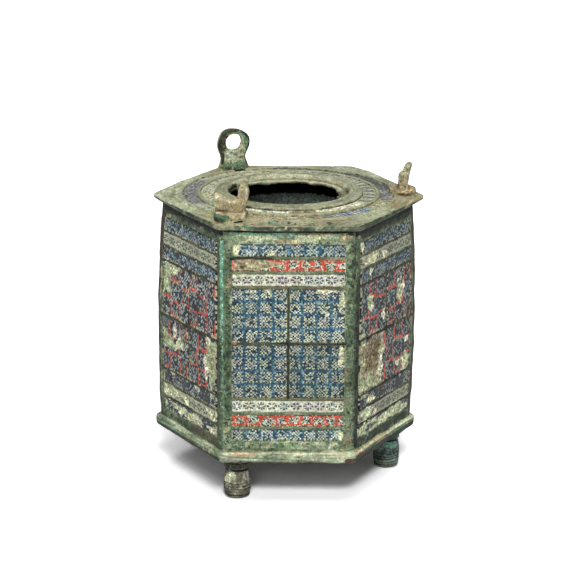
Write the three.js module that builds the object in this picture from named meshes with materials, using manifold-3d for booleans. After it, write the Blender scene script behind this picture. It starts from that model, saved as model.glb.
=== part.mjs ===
// Six-sided enamelled bronze box on three feet, with a round mouth and three suspension lugs.
// Millimetres, +Z up, the origin on the ground under the middle of the box, the front face towards -Y.
import * as THREE from "three";
import { mergeVertices } from "three/addons/utils/BufferGeometryUtils.js";
import Module from "manifold-3d";

const wasm = await Module();
wasm.setup();

// Driving sizes.
const SIDES = 6;
const BODY_SIDE = 33; // outer width of one side, which is also the radius to a corner
const SIDE_HEIGHT = 57.6;
const SIDE_THICKNESS = 2.2;
const MITRE_GAP = 0.3; // solder line between two side plates
const FOOT_HEIGHT = 11.06;
const FOOT_CIRCLE = 26.16;
const FOOT_WIDEST = 3.36;
const BASE_THICKNESS = 3.04;
const BASE_OVERHANG = 0.9;
const BASE_ROUND = 1.3; // height of the rounding at the top and at the bottom of the edge
const BASE_CORNER = 2.5;
const TOP_THICKNESS = 1.35; // at the rim
const TOP_OVERHANG = 1.64;
const TOP_CORNER = 3;
const TOP_ROUND = 0.4;
const CELL_DEPTH = 0.9;
const STRIP_DEPTH = 0.5; // the cross between the fields is let in only this deep
const ENAMEL_CLEARANCE = 0.1;
const ENAMEL_RECESS = 0.08; // the glass lies this far below the bronze

// Layout of the cells on a side plate, measured from its edges.
const SIDE_MARGIN = 2.8;
const TOP_MARGIN = 3.8;
const BOTTOM_MARGIN = 2.7;
const BAND_HEIGHT = 3;
const WALL = 0.8;
const CROSS_WIDTH = 0.6;

// Rings of the top plate: radius, and rise above the rim.
const MOUTH_R = 13.2;
const SEAT_R = 15.3;
const LIP_R = 19.1;
const INNER_RING_R = 22.3;
const RIDGE_R = 23.5;
const OUTER_RING_R = 26.9;
const DOME_R = 29.6;
const DOME_RISE = 0.85;
const RIDGE_RISE = 1.1;
const LIP_RISE = 1.9;
const SEAT_DEPTH = 1.3; // below the lip
const RING_DEPTH = 0.75;
const RING_SEGMENTS = 60;

// Lugs.
const LUG_CIRCLE = 30;
const LUG_LOOP_R = 5;
const LUG_HOLE_R = 2.3;
const LUG_THICKNESS = 2.9;
const LUG_HEIGHT = 11.8;
const LUG_NECK = 3.9;
const LUG_ROUND = 0.6;
const LUG_BASE_WIDE = 4.85;
const LUG_BASE_DEEP = 2.85;
const LUG_BASE_HIGH = 2.4;
const LUG_SOLDER = 0.2; // room for solder round the foot of a lug in its bed
const BENT_LEAN = -9; // degrees, the front lug, towards the mouth
const STUMP_LEAN = 13; // degrees, the right lug, outwards

// Derived places.
const CORNER_COS = Math.cos(Math.PI / SIDES);
const CORNER_TAN = Math.tan(Math.PI / SIDES);
const apothem = BODY_SIDE * CORNER_COS;
const baseTop = FOOT_HEIGHT + BASE_THICKNESS;
const sideTop = baseTop + SIDE_HEIGHT;
const rimTop = sideTop + TOP_THICKNESS;

// A geometry's triangles as a solid, turned to face out.
function solid(geometry) {
  const flat = geometry.index ? geometry.toNonIndexed() : geometry;
  const bare = new THREE.BufferGeometry().setAttribute("position", flat.getAttribute("position"));
  const merged = mergeVertices(bare, 1e-4);
  const triVerts = new Uint32Array(merged.index.array);
  const make = () =>
    new wasm.Manifold(
      new wasm.Mesh({ numProp: 3, vertProperties: merged.attributes.position.array, triVerts }),
    );
  const made = make();
  if (made.volume() > 0) return made;
  for (let i = 0; i < triVerts.length; i += 3) {
    const kept = triVerts[i + 1];
    triVerts[i + 1] = triVerts[i + 2];
    triVerts[i + 2] = kept;
  }
  return make();
}

function geometryOf(body) {
  const mesh = body.getMesh();
  const step = mesh.numProp;
  const places = new Float32Array(mesh.numVert * 3);
  for (let i = 0; i < mesh.numVert; i += 1) {
    places.set(mesh.vertProperties.subarray(i * step, i * step + 3), i * 3);
  }
  return new THREE.BufferGeometry()
    .setAttribute("position", new THREE.BufferAttribute(places, 3))
    .setIndex(new THREE.BufferAttribute(mesh.triVerts, 1));
}

function box(x0, x1, y0, y1, z0, z1) {
  const made = new THREE.BoxGeometry(x1 - x0, y1 - y0, z1 - z0);
  return solid(made.translate((x0 + x1) / 2, (y0 + y1) / 2, (z0 + z1) / 2));
}

// A profile of [radius, height] points, swept round the Z axis. A ring's profile ends where it starts.
function turned(profile, segments) {
  const points = profile.map(([r, z]) => new THREE.Vector2(r, z));
  return solid(new THREE.LatheGeometry(points, segments).rotateX(Math.PI / 2));
}

// A regular outline with rounded corners and corners on the X axis.
function hexagon(flatRadius, corner) {
  const shape = new THREE.Shape();
  const inset = (flatRadius - corner) / CORNER_COS;
  for (let i = 0; i < SIDES; i += 1) {
    const middle = (i * 2 * Math.PI) / SIDES;
    const half = Math.PI / SIDES;
    const x = inset * Math.cos(middle);
    const y = inset * Math.sin(middle);
    shape.absarc(x, y, corner, middle - half, middle + half, false);
  }
  shape.closePath();
  return shape;
}

// A slab of that outline whose edge is rounded at the top and at the bottom.
function slab(flatRadius, corner, thickness, out, round, z0) {
  const made = new THREE.ExtrudeGeometry(hexagon(flatRadius, corner), {
    depth: thickness - 2 * round,
    bevelEnabled: true,
    bevelSize: out,
    bevelOffset: -out,
    bevelThickness: round,
    bevelSegments: 3,
    curveSegments: 4,
  });
  return solid(made.translate(0, 0, z0 + round));
}

const finish = {
  bronze: { color: 0x6f735a, roughness: 0.62, metalness: 0.55 },
  darkBronze: { color: 0x3f4234, roughness: 0.58, metalness: 0.6 },
  blue: { color: 0x35507c, roughness: 0.35, metalness: 0 },
  white: { color: 0xcfcab8, roughness: 0.4, metalness: 0 },
  red: { color: 0x8f3a30, roughness: 0.4, metalness: 0 },
  checker: { color: 0x7d8ba0, roughness: 0.38, metalness: 0 },
};

function piece(name, body, look) {
  const mesh = new THREE.Mesh(geometryOf(body), new THREE.MeshStandardMaterial(finish[look]));
  mesh.name = name;
  return mesh;
}

const root = new THREE.Group();
root.name = "enamelled_box";

// Base plate: its flat top is as wide as the body, and its edge swells past it.
root.add(
  piece(
    "base_plate",
    slab(apothem + BASE_OVERHANG, BASE_CORNER, BASE_THICKNESS, BASE_OVERHANG, BASE_ROUND, FOOT_HEIGHT),
    "bronze",
  ),
);

// Side plates: one design, six times. The front one is made here, and the loop turns it round Z.
const halfCells = BODY_SIDE / 2 - SIDE_MARGIN;
const cellsHigh = SIDE_HEIGHT - TOP_MARGIN - BOTTOM_MARGIN;
const fieldsHigh = cellsHigh - 6 * BAND_HEIGHT - 6 * WALL;
const bandLevels = [0, 1, 2].map((i) => sideTop - TOP_MARGIN - (i + 1) * BAND_HEIGHT - i * WALL);
const fieldsLow = bandLevels[2] - WALL - fieldsHigh;
[0, 1, 2].forEach((i) => bandLevels.push(fieldsLow - (i + 1) * (BAND_HEIGHT + WALL)));

function sideSlab() {
  const shape = new THREE.Shape();
  const miss = MITRE_GAP / 2 / CORNER_COS;
  const inner = apothem - SIDE_THICKNESS;
  shape.moveTo(-apothem * CORNER_TAN + miss, -apothem);
  shape.lineTo(apothem * CORNER_TAN - miss, -apothem);
  shape.lineTo(inner * CORNER_TAN - miss, -inner);
  shape.lineTo(-inner * CORNER_TAN + miss, -inner);
  shape.closePath();
  const made = new THREE.ExtrudeGeometry(shape, { depth: SIDE_HEIGHT, bevelEnabled: false });
  return solid(made.translate(0, 0, baseTop));
}

// A cell cut from the face, and the glass that fills it, which is smaller by the clearance.
function cell(z0, z1) {
  return box(-halfCells, halfCells, -apothem - 1, -apothem + CELL_DEPTH, z0, z1);
}

function glass(z0, z1) {
  const c = ENAMEL_CLEARANCE;
  const face = -apothem + ENAMEL_RECESS;
  return box(-halfCells + c, halfCells - c, face, -apothem + CELL_DEPTH - c, z0 + c, z1 - c);
}

// The cross of bronze strip that parts the four fields. The glass is cut from it with room to spare.
function cross(spare, front) {
  const middle = fieldsLow + fieldsHigh / 2;
  const half = CROSS_WIDTH / 2 + spare;
  const back = -apothem + STRIP_DEPTH + spare;
  const upright = box(-half, half, front, back, fieldsLow - WALL / 2, fieldsLow + fieldsHigh + WALL / 2);
  const past = halfCells + WALL / 2;
  return upright.add(box(-past, past, front, back, middle - half, middle + half));
}

let plate = sideSlab();
bandLevels.forEach((z) => {
  plate = plate.subtract(cell(z, z + BAND_HEIGHT));
});
plate = plate.subtract(cell(fieldsLow, fieldsLow + fieldsHigh)).add(cross(0, -apothem));
const fields = glass(fieldsLow, fieldsLow + fieldsHigh).subtract(cross(ENAMEL_CLEARANCE, -apothem - 1));

// The sides run on from the front, turning to the right, and take two patterns by turns.
const sideNames = ["front", "front_right", "back_right", "back", "back_left", "front_left"];
const bandLooks = [
  ["blue", "red", "white", "white", "red", "blue"],
  ["blue", "white", "blue", "blue", "white", "blue"],
];
sideNames.forEach((side, i) => {
  const group = new THREE.Group();
  group.name = side;
  group.rotation.z = (i * 2 * Math.PI) / SIDES;
  group.add(piece(side + "_plate", plate, "bronze"));
  bandLevels.forEach((z, band) => {
    const name = side + "_enamel_band_" + (band + 1);
    group.add(piece(name, glass(z, z + BAND_HEIGHT), bandLooks[i % 2][band]));
  });
  group.add(piece(side + "_enamel_fields", fields, "checker"));
  root.add(group);
});

// Top plate: a flat six-sided rim, and on it a low dome of turned rings round the mouth.
const lipTop = rimTop + LIP_RISE;
const seat = lipTop - SEAT_DEPTH;
const outerFloor = rimTop + DOME_RISE - RING_DEPTH;
const innerFloor = rimTop + RIDGE_RISE - RING_DEPTH;
const rings = turned(
  [
    [DOME_R, rimTop - 0.6],
    [DOME_R, rimTop],
    [OUTER_RING_R, rimTop + DOME_RISE],
    [OUTER_RING_R, outerFloor],
    [RIDGE_R, outerFloor],
    [RIDGE_R, rimTop + RIDGE_RISE - 0.2],
    [RIDGE_R - 0.25, rimTop + RIDGE_RISE],
    [INNER_RING_R + 0.25, rimTop + RIDGE_RISE + 0.05],
    [INNER_RING_R, rimTop + RIDGE_RISE - 0.1],
    [INNER_RING_R, innerFloor],
    [LIP_R, innerFloor],
    [LIP_R, rimTop + RIDGE_RISE + 0.1],
    [LIP_R - 0.7, lipTop - 0.4],
    [LIP_R - 2, lipTop - 0.05],
    [SEAT_R + 0.6, lipTop],
    [SEAT_R, lipTop - 0.4],
    [SEAT_R, seat],
    [MOUTH_R, seat],
    [MOUTH_R, rimTop - 0.6],
    [DOME_R, rimTop - 0.6],
  ],
  RING_SEGMENTS,
);
const bore = new THREE.CylinderGeometry(MOUTH_R, MOUTH_R, 9, RING_SEGMENTS).rotateX(Math.PI / 2);
const rim = slab(apothem + TOP_OVERHANG, TOP_CORNER, TOP_THICKNESS, TOP_ROUND, TOP_ROUND, sideTop);
let top = rim.add(rings).subtract(solid(bore.translate(0, 0, rimTop)));

// The lugs stand astride the foot of the dome, so a flat bed is filed for the foot of each one.
const lugTurns = { right_lug: 0, rear_lug: 120, front_lug: 240 };
Object.values(lugTurns).forEach((degrees) => {
  const bed = new THREE.CylinderGeometry(1, 1, 4, 28).rotateX(Math.PI / 2);
  bed.scale(LUG_BASE_WIDE + LUG_SOLDER, LUG_BASE_DEEP + LUG_SOLDER, 1);
  bed.translate(0, LUG_CIRCLE, rimTop + 2).rotateZ(THREE.MathUtils.degToRad(degrees - 90));
  top = top.subtract(solid(bed));
});
root.add(piece("top_plate", top, "bronze"));

function ringGlass(inner, outer, floor, innerTop, outerTop) {
  const c = ENAMEL_CLEARANCE;
  return turned(
    [
      [outer - c, floor + c],
      [outer - c, outerTop - ENAMEL_RECESS],
      [inner + c, innerTop - ENAMEL_RECESS],
      [inner + c, floor + c],
      [outer - c, floor + c],
    ],
    RING_SEGMENTS,
  );
}
const outerTop = rimTop + DOME_RISE;
const innerTop = rimTop + RIDGE_RISE;
root.add(
  piece("outer_ring_enamel", ringGlass(RIDGE_R, OUTER_RING_R, outerFloor, outerTop, outerTop), "checker"),
);
root.add(piece("inner_ring_enamel", ringGlass(LIP_R, INNER_RING_R, innerFloor, innerTop, innerTop), "white"));

// Lugs: a loop in the plane across the radius, on an oval foot. X runs along the rim, Y outwards.
function loop() {
  const shape = new THREE.Shape();
  const centre = LUG_HEIGHT - LUG_LOOP_R;
  const start = Math.acos(LUG_NECK / LUG_LOOP_R);
  shape.moveTo(-LUG_NECK, 0.4);
  shape.lineTo(LUG_NECK, 0.4);
  shape.absarc(0, centre, LUG_LOOP_R, -start, Math.PI + start, false);
  shape.closePath();
  const hole = new THREE.Path();
  hole.absarc(0, centre, LUG_HOLE_R, 0, 2 * Math.PI, true);
  shape.holes.push(hole);
  const made = new THREE.ExtrudeGeometry(shape, {
    depth: LUG_THICKNESS - 2 * LUG_ROUND,
    bevelEnabled: true,
    bevelSize: LUG_ROUND,
    bevelOffset: -LUG_ROUND,
    bevelThickness: LUG_ROUND,
    bevelSegments: 2,
    curveSegments: 9,
  });
  return made.translate(0, 0, LUG_ROUND - LUG_THICKNESS / 2).rotateX(Math.PI / 2);
}

function lugFoot() {
  const profile = [
    [0, 0],
    [1, 0],
    [1, 0.45],
    [0.93, 0.62],
    [0.8, 0.85],
    [0.68, 1],
    [0, 1],
  ].map(([r, z]) => new THREE.Vector2(r, z));
  const made = new THREE.LatheGeometry(profile, 28).rotateX(Math.PI / 2);
  return solid(made.scale(LUG_BASE_WIDE, LUG_BASE_DEEP, LUG_BASE_HIGH));
}

function lug(lean, lost) {
  const leaning = loop().rotateX(THREE.MathUtils.degToRad(-lean));
  let body = solid(leaning);
  lost.forEach((gone) => {
    body = body.subtract(gone);
  });
  const ground = box(-9, 9, -9, 9, -5, 0);
  return lugFoot().add(body).subtract(ground);
}

function placeLug(name, body) {
  const group = new THREE.Group();
  const turn = THREE.MathUtils.degToRad(lugTurns[name]);
  group.rotation.z = turn - Math.PI / 2;
  group.position.set(LUG_CIRCLE * Math.cos(turn), LUG_CIRCLE * Math.sin(turn), rimTop);
  group.add(piece(name, body, "darkBronze"));
  root.add(group);
}

// What the broken loops have lost.
const far = 20;
const frontLost = [box(-1.6, far, -far, far, 5.6, far), box(-far, -3.1, -far, far, 9.4, far)];
const rightLost = [box(-far, far, -far, far, 8.7, far), box(0, far, -far, far, 6.2, far)];
placeLug("rear_lug", lug(0, []));
placeLug("front_lug", lug(BENT_LEAN, frontLost));
placeLug("right_lug", lug(STUMP_LEAN, rightLost));

// Feet: a collar, a groove and a barrel that narrows to a flat sole.
const foot = turned(
  [
    [0, 0],
    [0.8, 0],
    [0.9, 0.03],
    [0.96, 0.09],
    [0.99, 0.17],
    [1, 0.28],
    [0.99, 0.4],
    [0.96, 0.5],
    [0.93, 0.57],
    [0.84, 0.6],
    [0.82, 0.625],
    [0.84, 0.65],
    [0.95, 0.68],
    [0.98, 0.73],
    [0.98, 0.85],
    [0.93, 0.9],
    [0.93, 1],
    [0, 1],
  ].map(([r, z]) => [r * FOOT_WIDEST, z * FOOT_HEIGHT]),
  24,
);
["right", "back", "front"].forEach((side, i) => {
  const turn = (i * 2 * Math.PI) / 3;
  const mesh = piece(side + "_foot", foot, "darkBronze");
  mesh.position.set(FOOT_CIRCLE * Math.cos(turn), FOOT_CIRCLE * Math.sin(turn), 0);
  root.add(mesh);
});

export default root;
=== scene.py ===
# %% [markdown]
# # An enamelled bronze box
# This lesson models a six-sided box that was cast in bronze plates, inlaid with mosaic glass and buried
# for many centuries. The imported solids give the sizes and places. Each piece is rebuilt here with the
# wear, the corrosion and the glass that the plain solids lack. Sizes are written in millimetres, and MM
# turns them to Blender's metres.

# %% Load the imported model
import math

import bpy
import numpy as np
from mathutils import Matrix, Vector


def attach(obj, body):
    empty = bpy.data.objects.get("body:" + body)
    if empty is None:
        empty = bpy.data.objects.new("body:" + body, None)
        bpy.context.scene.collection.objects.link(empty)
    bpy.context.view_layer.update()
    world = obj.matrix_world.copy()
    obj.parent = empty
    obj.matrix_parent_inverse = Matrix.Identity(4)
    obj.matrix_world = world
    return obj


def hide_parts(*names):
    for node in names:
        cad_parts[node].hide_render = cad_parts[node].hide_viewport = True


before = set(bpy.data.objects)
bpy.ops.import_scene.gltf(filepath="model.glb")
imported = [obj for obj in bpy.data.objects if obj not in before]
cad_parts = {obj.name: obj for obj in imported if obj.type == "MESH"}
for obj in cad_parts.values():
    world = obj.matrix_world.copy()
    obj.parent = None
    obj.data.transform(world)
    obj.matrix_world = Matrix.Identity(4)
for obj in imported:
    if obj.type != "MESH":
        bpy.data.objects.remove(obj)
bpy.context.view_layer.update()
MM = 0.001

# %% [markdown]
# ## Camera
# The photograph was taken with a long lens from a little above. The place of the eye comes from the
# corners of the box in the picture: about 645 mm away, 16.5 degrees up, square to the front side and
# rolled by half a degree. A lens of 155 mm on a 36 mm sensor gives the same weak perspective.

# %% Camera
AZIMUTH, ELEVATION, ROLL = math.radians(-0.49), math.radians(16.52), math.radians(-0.5)
EYE_AWAY, AIM_RIGHT, AIM_HIGH = 645 * MM, 0.57 * MM, 47.88 * MM
LENS, SENSOR = 154.7, 36
outward = math.cos(ELEVATION)
back = Vector((math.sin(AZIMUTH) * outward, -math.cos(AZIMUTH) * outward, math.sin(ELEVATION)))
across = Vector((math.cos(AZIMUTH), math.sin(AZIMUTH), 0))
upward = back.cross(across)
eye = across * AIM_RIGHT + Vector((0, 0, AIM_HIGH)) + back * EYE_AWAY
right = across * math.cos(ROLL) - upward * math.sin(ROLL)
top = across * math.sin(ROLL) + upward * math.cos(ROLL)
bpy.ops.object.camera_add()
camera = bpy.context.object
axes = (right, top, back, eye)
camera.matrix_world = Matrix([[axis[row] for axis in axes] for row in range(3)] + [[0, 0, 0, 1]])
camera.data.sensor_width = SENSOR
camera.data.lens = LENS
camera.data.clip_start = 10 * MM
bpy.context.scene.camera = camera
bpy.context.scene.view_settings.view_transform = "Standard"
print("eye", [round(v, 4) for v in eye])

# %% [markdown]
# ## Helpers for colour and nodes
# Colours are written as they look on a screen, and shaders count in linear light, so one function turns
# one into the other. Another adds a node, sets it up and links it in one go. The size of a grain in
# millimetres gives the scale of a noise.

# %% Colour and node helpers
def linear(code):
    """A screen colour such as #8a8f70 as linear red, green, blue and alpha."""
    parts = [int(code[i:i + 2], 16) / 255 for i in (1, 3, 5)]
    return tuple(c / 12.92 if c <= 0.04045 else ((c + 0.055) / 1.055) ** 2.4 for c in parts) + (1.0,)


def add(tree, kind, links=None, values=None, **settings):
    """Adds a node. links and values go by the input's name or number, settings are the node's own."""
    made = tree.nodes.new(kind)
    for key, value in settings.items():
        setattr(made, key, value)
    for key, value in (values or {}).items():
        made.inputs[key].default_value = value
    for key, socket in (links or {}).items():
        tree.links.new(socket, made.inputs[key])
    return made


def new_material(name):
    made = bpy.data.materials.new(name)
    made.use_nodes = True
    made.node_tree.nodes.clear()
    return made, made.node_tree


def grain(size):
    """The scale of a noise with lumps of this size in millimetres, rounded to tens."""
    return round(1 / (size * MM), -1)


print("lumps of 2.4 mm have a scale of", grain(2.4))

# %% [markdown]
# ## Light and floor
# The photograph has the even light of a museum studio: soft boxes in front and above, and white all
# round. Four wide suns stand for the boxes, two in front, a weak low one for what faces down and one
# overhead for the top. Lamps close by would leave bright patches, and suns light the paper evenly to the
# edges of the picture. The floor is white paper that keeps the soft dark under the box.

# %% Lights
def soft_sun(name, azimuth, elevation, spread, strength):
    """A wide, even light from far away. azimuth is in degrees from the front, to the right."""
    bpy.ops.object.light_add(type="SUN")
    lamp = bpy.context.object
    lamp.name = name
    lamp.data.energy = strength
    lamp.data.angle = math.radians(spread)
    turn, rise = math.radians(azimuth), math.radians(elevation)
    way = Vector((math.sin(turn) * math.cos(rise), -math.cos(turn) * math.cos(rise), math.sin(rise)))
    lamp.rotation_euler = way.to_track_quat("Z", "Y").to_euler()


LIGHTS = {
    "high_light": (6, 44, 12, 1.45), "key_light": (-4, 40, 12, 0.66),
    "low_light": (-10, 26, 14, 0.32), "top_light": (0, 88, 45, 1.42),
}
for name, light in LIGHTS.items():
    soft_sun(name, *light)
print("lights", list(LIGHTS))

# %% White surroundings
# The camera sees plain white, and the box gets only a little light from all round.
ALL_ROUND_LIGHT = 0.075
world = bpy.data.worlds.new("white_studio")
bpy.context.scene.world = world
world.use_nodes = True
tree = world.node_tree
tree.nodes.clear()
rays = add(tree, "ShaderNodeLightPath").outputs
seen = add(
    tree, "ShaderNodeMath", {0: rays["Is Camera Ray"], 1: rays["Is Transmission Ray"]}, operation="MAXIMUM",
)
shine = add(
    tree, "ShaderNodeMapRange", {"Value": seen.outputs[0]}, {"To Min": ALL_ROUND_LIGHT, "To Max": 1.0},
)
sky = add(tree, "ShaderNodeBackground", {"Strength": shine.outputs[0]}, {"Color": (1, 1, 1, 1)})
add(tree, "ShaderNodeOutputWorld", {"Surface": sky.outputs[0]})
print("surroundings", world.name)

# %% Paper floor
# White matt paper. The camera sees it brighter than the box does, so that it reads as white and still
# throws little light back.
PAPER_SEEN, PAPER_GLOW = (1.65, 1.64, 1.67, 1), 0.02
bpy.ops.mesh.primitive_plane_add(size=6)
floor = bpy.context.object
floor.name = "paper_floor"
paper, tree = new_material("white_paper")
spot = add(tree, "ShaderNodeTexCoord").outputs["Object"]
tooth = add(tree, "ShaderNodeTexNoise", {"Vector": spot}, {"Scale": grain(1.11), "Detail": 3.0})
shade = add(tree, "ShaderNodeMapRange", {"Value": tooth.outputs[0]}, {"To Min": 0.9, "To Max": 0.94})
seen = add(tree, "ShaderNodeLightPath").outputs["Is Camera Ray"]
lift = add(tree, "ShaderNodeMix", {"Factor": seen}, {6: (1, 1, 1, 1), 7: PAPER_SEEN}, data_type="RGBA")
shade = add(
    tree, "ShaderNodeMix", {6: shade.outputs[0], 7: lift.outputs[2]}, {"Factor": 1.0},
    data_type="RGBA", blend_type="MULTIPLY",
)
face = add(tree, "ShaderNodeBsdfDiffuse", {"Color": shade.outputs[2]})
glow = add(tree, "ShaderNodeMapRange", {"Value": seen}, {"To Max": PAPER_GLOW})
glow = add(tree, "ShaderNodeEmission", {"Strength": glow.outputs[0]}, {"Color": linear("#fdfdff")})
face = add(tree, "ShaderNodeAddShader", {0: face.outputs[0], 1: glow.outputs[0]})
add(tree, "ShaderNodeOutputMaterial", {"Surface": face.outputs[0]})
floor.data.materials.append(paper)
print("floor", floor.name)

# %% [markdown]
# ## Corroded bronze
# Bronze from the ground is hardly metal to look at. Its skin is a crust of copper minerals: grey-green
# and olive all over, blue-green verdigris where water ran, brown where the crust has come away, cream on
# the rubbed edges and black in the joints. Flat colours would look like paint, so noises of five sizes,
# from 7 mm to 0.3 mm, mix the tones. Coats that belong to one place, such as a stain, are painted on the
# points of a piece, and the shader reads them.

# %% Coats and noises
# A coat is its name, its colour and the noise that breaks up its edge. A noise is its size in
# millimetres, its detail and its roughness. The real crystals are finer, and are drawn coarse to show.
# Soot also serves as painted shadow, and chalk partly as painted light.
COATS = (
    ("pale", "#b9c0a0", "patch"), ("moss", "#587354", "patch"), ("verdigris", "#74ab8f", "patch"),
    ("tan", "#b39e78", "mottle"), ("brown", "#605740", "mottle"), ("dark", "#2c372b", "patch"),
    ("umber", "#4b3a30", "mottle"), ("rust", "#9c6645", "mottle"), ("cream", "#dcd3b2", "mottle"),
    ("chalk_and_light", "#adbab4", "patch"), ("pitch", "#1d261c", "speck"), ("frost", "#a6c6ae", "speck"),
    ("soot_and_shadow", "#11120f", "mottle"),
)
BRONZE_NOISES = {
    "broad": (6.7, 5, 0.6), "patch": (2.4, 7, 0.72), "mottle": (1.18, 6, 0.72),
    "speck": (0.667, 3, 0.65), "grain": (0.333, 2, 0.6),
}
print("coats", [coat for coat, tone, noise in COATS])

# %% Steps of the bronze finish
def coated(tree, colour, noises):
    """Lays each painted coat over a colour, with its edge broken up by its noise."""
    for coat, tone, noise in COATS:
        painted = add(tree, "ShaderNodeAttribute", attribute_name=coat, attribute_type="GEOMETRY")
        both = {0: noises[noise], 1: painted.outputs["Fac"]}
        amount = add(tree, "ShaderNodeMath", both, operation="ADD")
        share = add(
            tree, "ShaderNodeMapRange", {"Value": amount.outputs[0]}, {"From Min": 0.64, "From Max": 0.8},
            interpolation_type="SMOOTHSTEP",
        )
        under = {"Factor": share.outputs[0], 6: colour}
        colour = add(tree, "ShaderNodeMix", under, {7: linear(tone)}, data_type="RGBA").outputs[2]
    return colour


def speckled(tree, colour, factors):
    """Multiplies a colour by each of several factors, such as grit and pits."""
    for factor in factors:
        colour = add(
            tree, "ShaderNodeMix", {6: colour, 7: factor}, {"Factor": 1.0},
            data_type="RGBA", blend_type="MULTIPLY",
        ).outputs[2]
    return colour


def streak_lines(tree, place, stretch, round_streaks):
    """Places for a noise that is drawn out into streaks: along a piece or, on a turned one, round it."""
    if not round_streaks:
        return add(tree, "ShaderNodeVectorMath", {0: place}, {1: stretch}, operation="MULTIPLY").outputs[0]
    flat = add(tree, "ShaderNodeVectorMath", {0: place}, {1: (1, 1, 0)}, operation="MULTIPLY").outputs[0]
    way = add(tree, "ShaderNodeVectorMath", {0: flat}, operation="NORMALIZE").outputs[0]
    way = add(tree, "ShaderNodeVectorMath", {0: way}, {"Scale": 4 * MM}, operation="SCALE").outputs[0]
    radius = add(tree, "ShaderNodeVectorMath", {0: flat}, operation="LENGTH").outputs["Value"]
    radius = add(tree, "ShaderNodeCombineXYZ", {2: radius}).outputs[0]
    return add(tree, "ShaderNodeVectorMath", {0: way, 1: radius}, operation="ADD").outputs[0]


print("a coat starts where its noise and its paint add up to 0.64")

# %% Corroded bronze
def patina(name, shades, crust, strength, tinge, streak=0.28, stretch=(0.25, 0.25, 1), round_streaks=False):
    """A corroded bronze: shades from dark to pale, and how rough, speckled, tinged and streaked it is."""
    made, tree = new_material(name)
    place = add(tree, "ShaderNodeTexCoord").outputs["Object"]
    noises, tints = {}, {}
    for key, (size, detail, rough) in BRONZE_NOISES.items():
        scale = grain(size)
        noise = add(
            tree, "ShaderNodeTexNoise", {"Vector": place},
            {"Scale": scale, "Detail": detail, "Roughness": rough, "W": scale / 100}, noise_dimensions="4D",
        )
        noises[key], tints[key] = noise.outputs[0], noise.outputs["Color"]
    blend = add(tree, "ShaderNodeMix", {2: noises["broad"], 3: noises["mottle"]}, {0: 0.5})
    ramp = add(tree, "ShaderNodeValToRGB", {0: blend.outputs[0]})
    steps = ramp.color_ramp.elements
    steps[0].position, steps[1].position = 0.39, 0.61
    for at in (0.45, 0.5, 0.55):
        steps.new(at)
    for step, shade in zip(steps, shades):
        step.color = linear(shade)
    hues = add(
        tree, "ShaderNodeVectorMath", {0: tints["patch"]},
        {1: (2.4, 2.4, 2.4), 2: (-0.7, -0.7, -0.7)}, operation="MULTIPLY_ADD",
    ).outputs[0]
    colour = coated(tree, ramp.outputs[0], noises)
    colour = add(
        tree, "ShaderNodeMix", {6: colour, 7: hues}, {"Factor": tinge},
        data_type="RGBA", blend_type="OVERLAY",
    ).outputs[2]
    lines = streak_lines(tree, place, stretch, round_streaks)
    streaks = add(
        tree, "ShaderNodeTexNoise", {"Vector": lines}, {"Scale": grain(1.0), "Detail": 4.0},
    ).outputs[0]
    edges = add(tree, "ShaderNodeNewGeometry").outputs["Pointiness"]
    factors = []
    for source, low, high, dim, bright in (
        (streaks, 0.3, 0.7, 1 - streak, 1 + streak),
        (noises["grain"], 0.3, 0.7, 1 - 0.55 * strength, 1 + 0.55 * strength),
        (noises["speck"], 0.3, 0.7, 1 - 0.55 * strength, 1 + 0.55 * strength),
        (noises["mottle"], 0.3, 0.7, 1 - 0.2 * strength, 1 + 0.2 * strength),
        (noises["speck"], 0.3, 0.37, 1 - 0.6 * strength, 1.0),
        (edges, 0.44, 0.5, 0.3, 1.0),
    ):
        factors.append(add(
            tree, "ShaderNodeMapRange", {"Value": source},
            {"From Min": low, "From Max": high, "To Min": dim, "To Max": bright},
        ).outputs[0])
    colour = speckled(tree, colour, factors)
    rub = add(
        tree, "ShaderNodeMapRange", {"Value": edges},
        {"From Min": 0.52, "From Max": 0.6, "To Min": 0.0, "To Max": 0.5},
    )
    under = {"Factor": rub.outputs[0], 6: colour}
    colour = add(tree, "ShaderNodeMix", under, {7: linear(shades[-1])}, data_type="RGBA").outputs[2]
    relief = add(tree, "ShaderNodeMath", {0: noises["mottle"], 1: streaks}, operation="ADD")
    bump = add(
        tree, "ShaderNodeBump", {"Height": relief.outputs[0]}, {"Strength": crust, "Distance": 0.35 * MM},
    )
    sheen = add(
        tree, "ShaderNodeMapRange", {"Value": noises["grain"]},
        {"From Min": 0.3, "From Max": 0.7, "To Min": 0.45, "To Max": 0.8},
    )
    skin = add(
        tree, "ShaderNodeBsdfPrincipled",
        {"Base Color": colour, "Roughness": sheen.outputs[0], "Normal": bump.outputs[0]},
        {"Specular IOR Level": 0.3},
    )
    add(tree, "ShaderNodeOutputMaterial", {"Surface": skin.outputs[0]})
    return made


print("noises of the crust", {key: grain(noise[0]) for key, noise in BRONZE_NOISES.items()})

# %% Bronzes of the box
# Pale olive and rubbed smooth, with faint turning lines round the mouth.
top_bronze = patina(
    "pale_olive_bronze", ("#7c7e63", "#8d8f71", "#98997b", "#a3a587", "#b0b294"), 0.35, 0.65, 0.08,
    round_streaks=True,
)
# Mid green and rough, with dark and pale specks.
side_bronze = patina("green_bronze", ("#3f4f39", "#5c6e54", "#708263", "#869676", "#a3ab8c"), 0.9, 1.0, 0.18)
# The same crust, painted darker as shade, on the sides that lie more in the shade.
dark_side_bronze = patina(
    "dark_green_bronze", ("#2d392a", "#47563f", "#5b6a50", "#728064", "#959e80"), 0.9, 1.0, 0.2,
)
# Pale green, rubbed along its edge, so that it is streaked lengthwise.
base_bronze = patina(
    "rubbed_bronze", ("#606b55", "#7f8b71", "#969f83", "#abb294", "#c4c8ac"), 0.7, 0.5, 0.14,
    0.7, (0.1, 0.1, 1.7),
)
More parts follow.
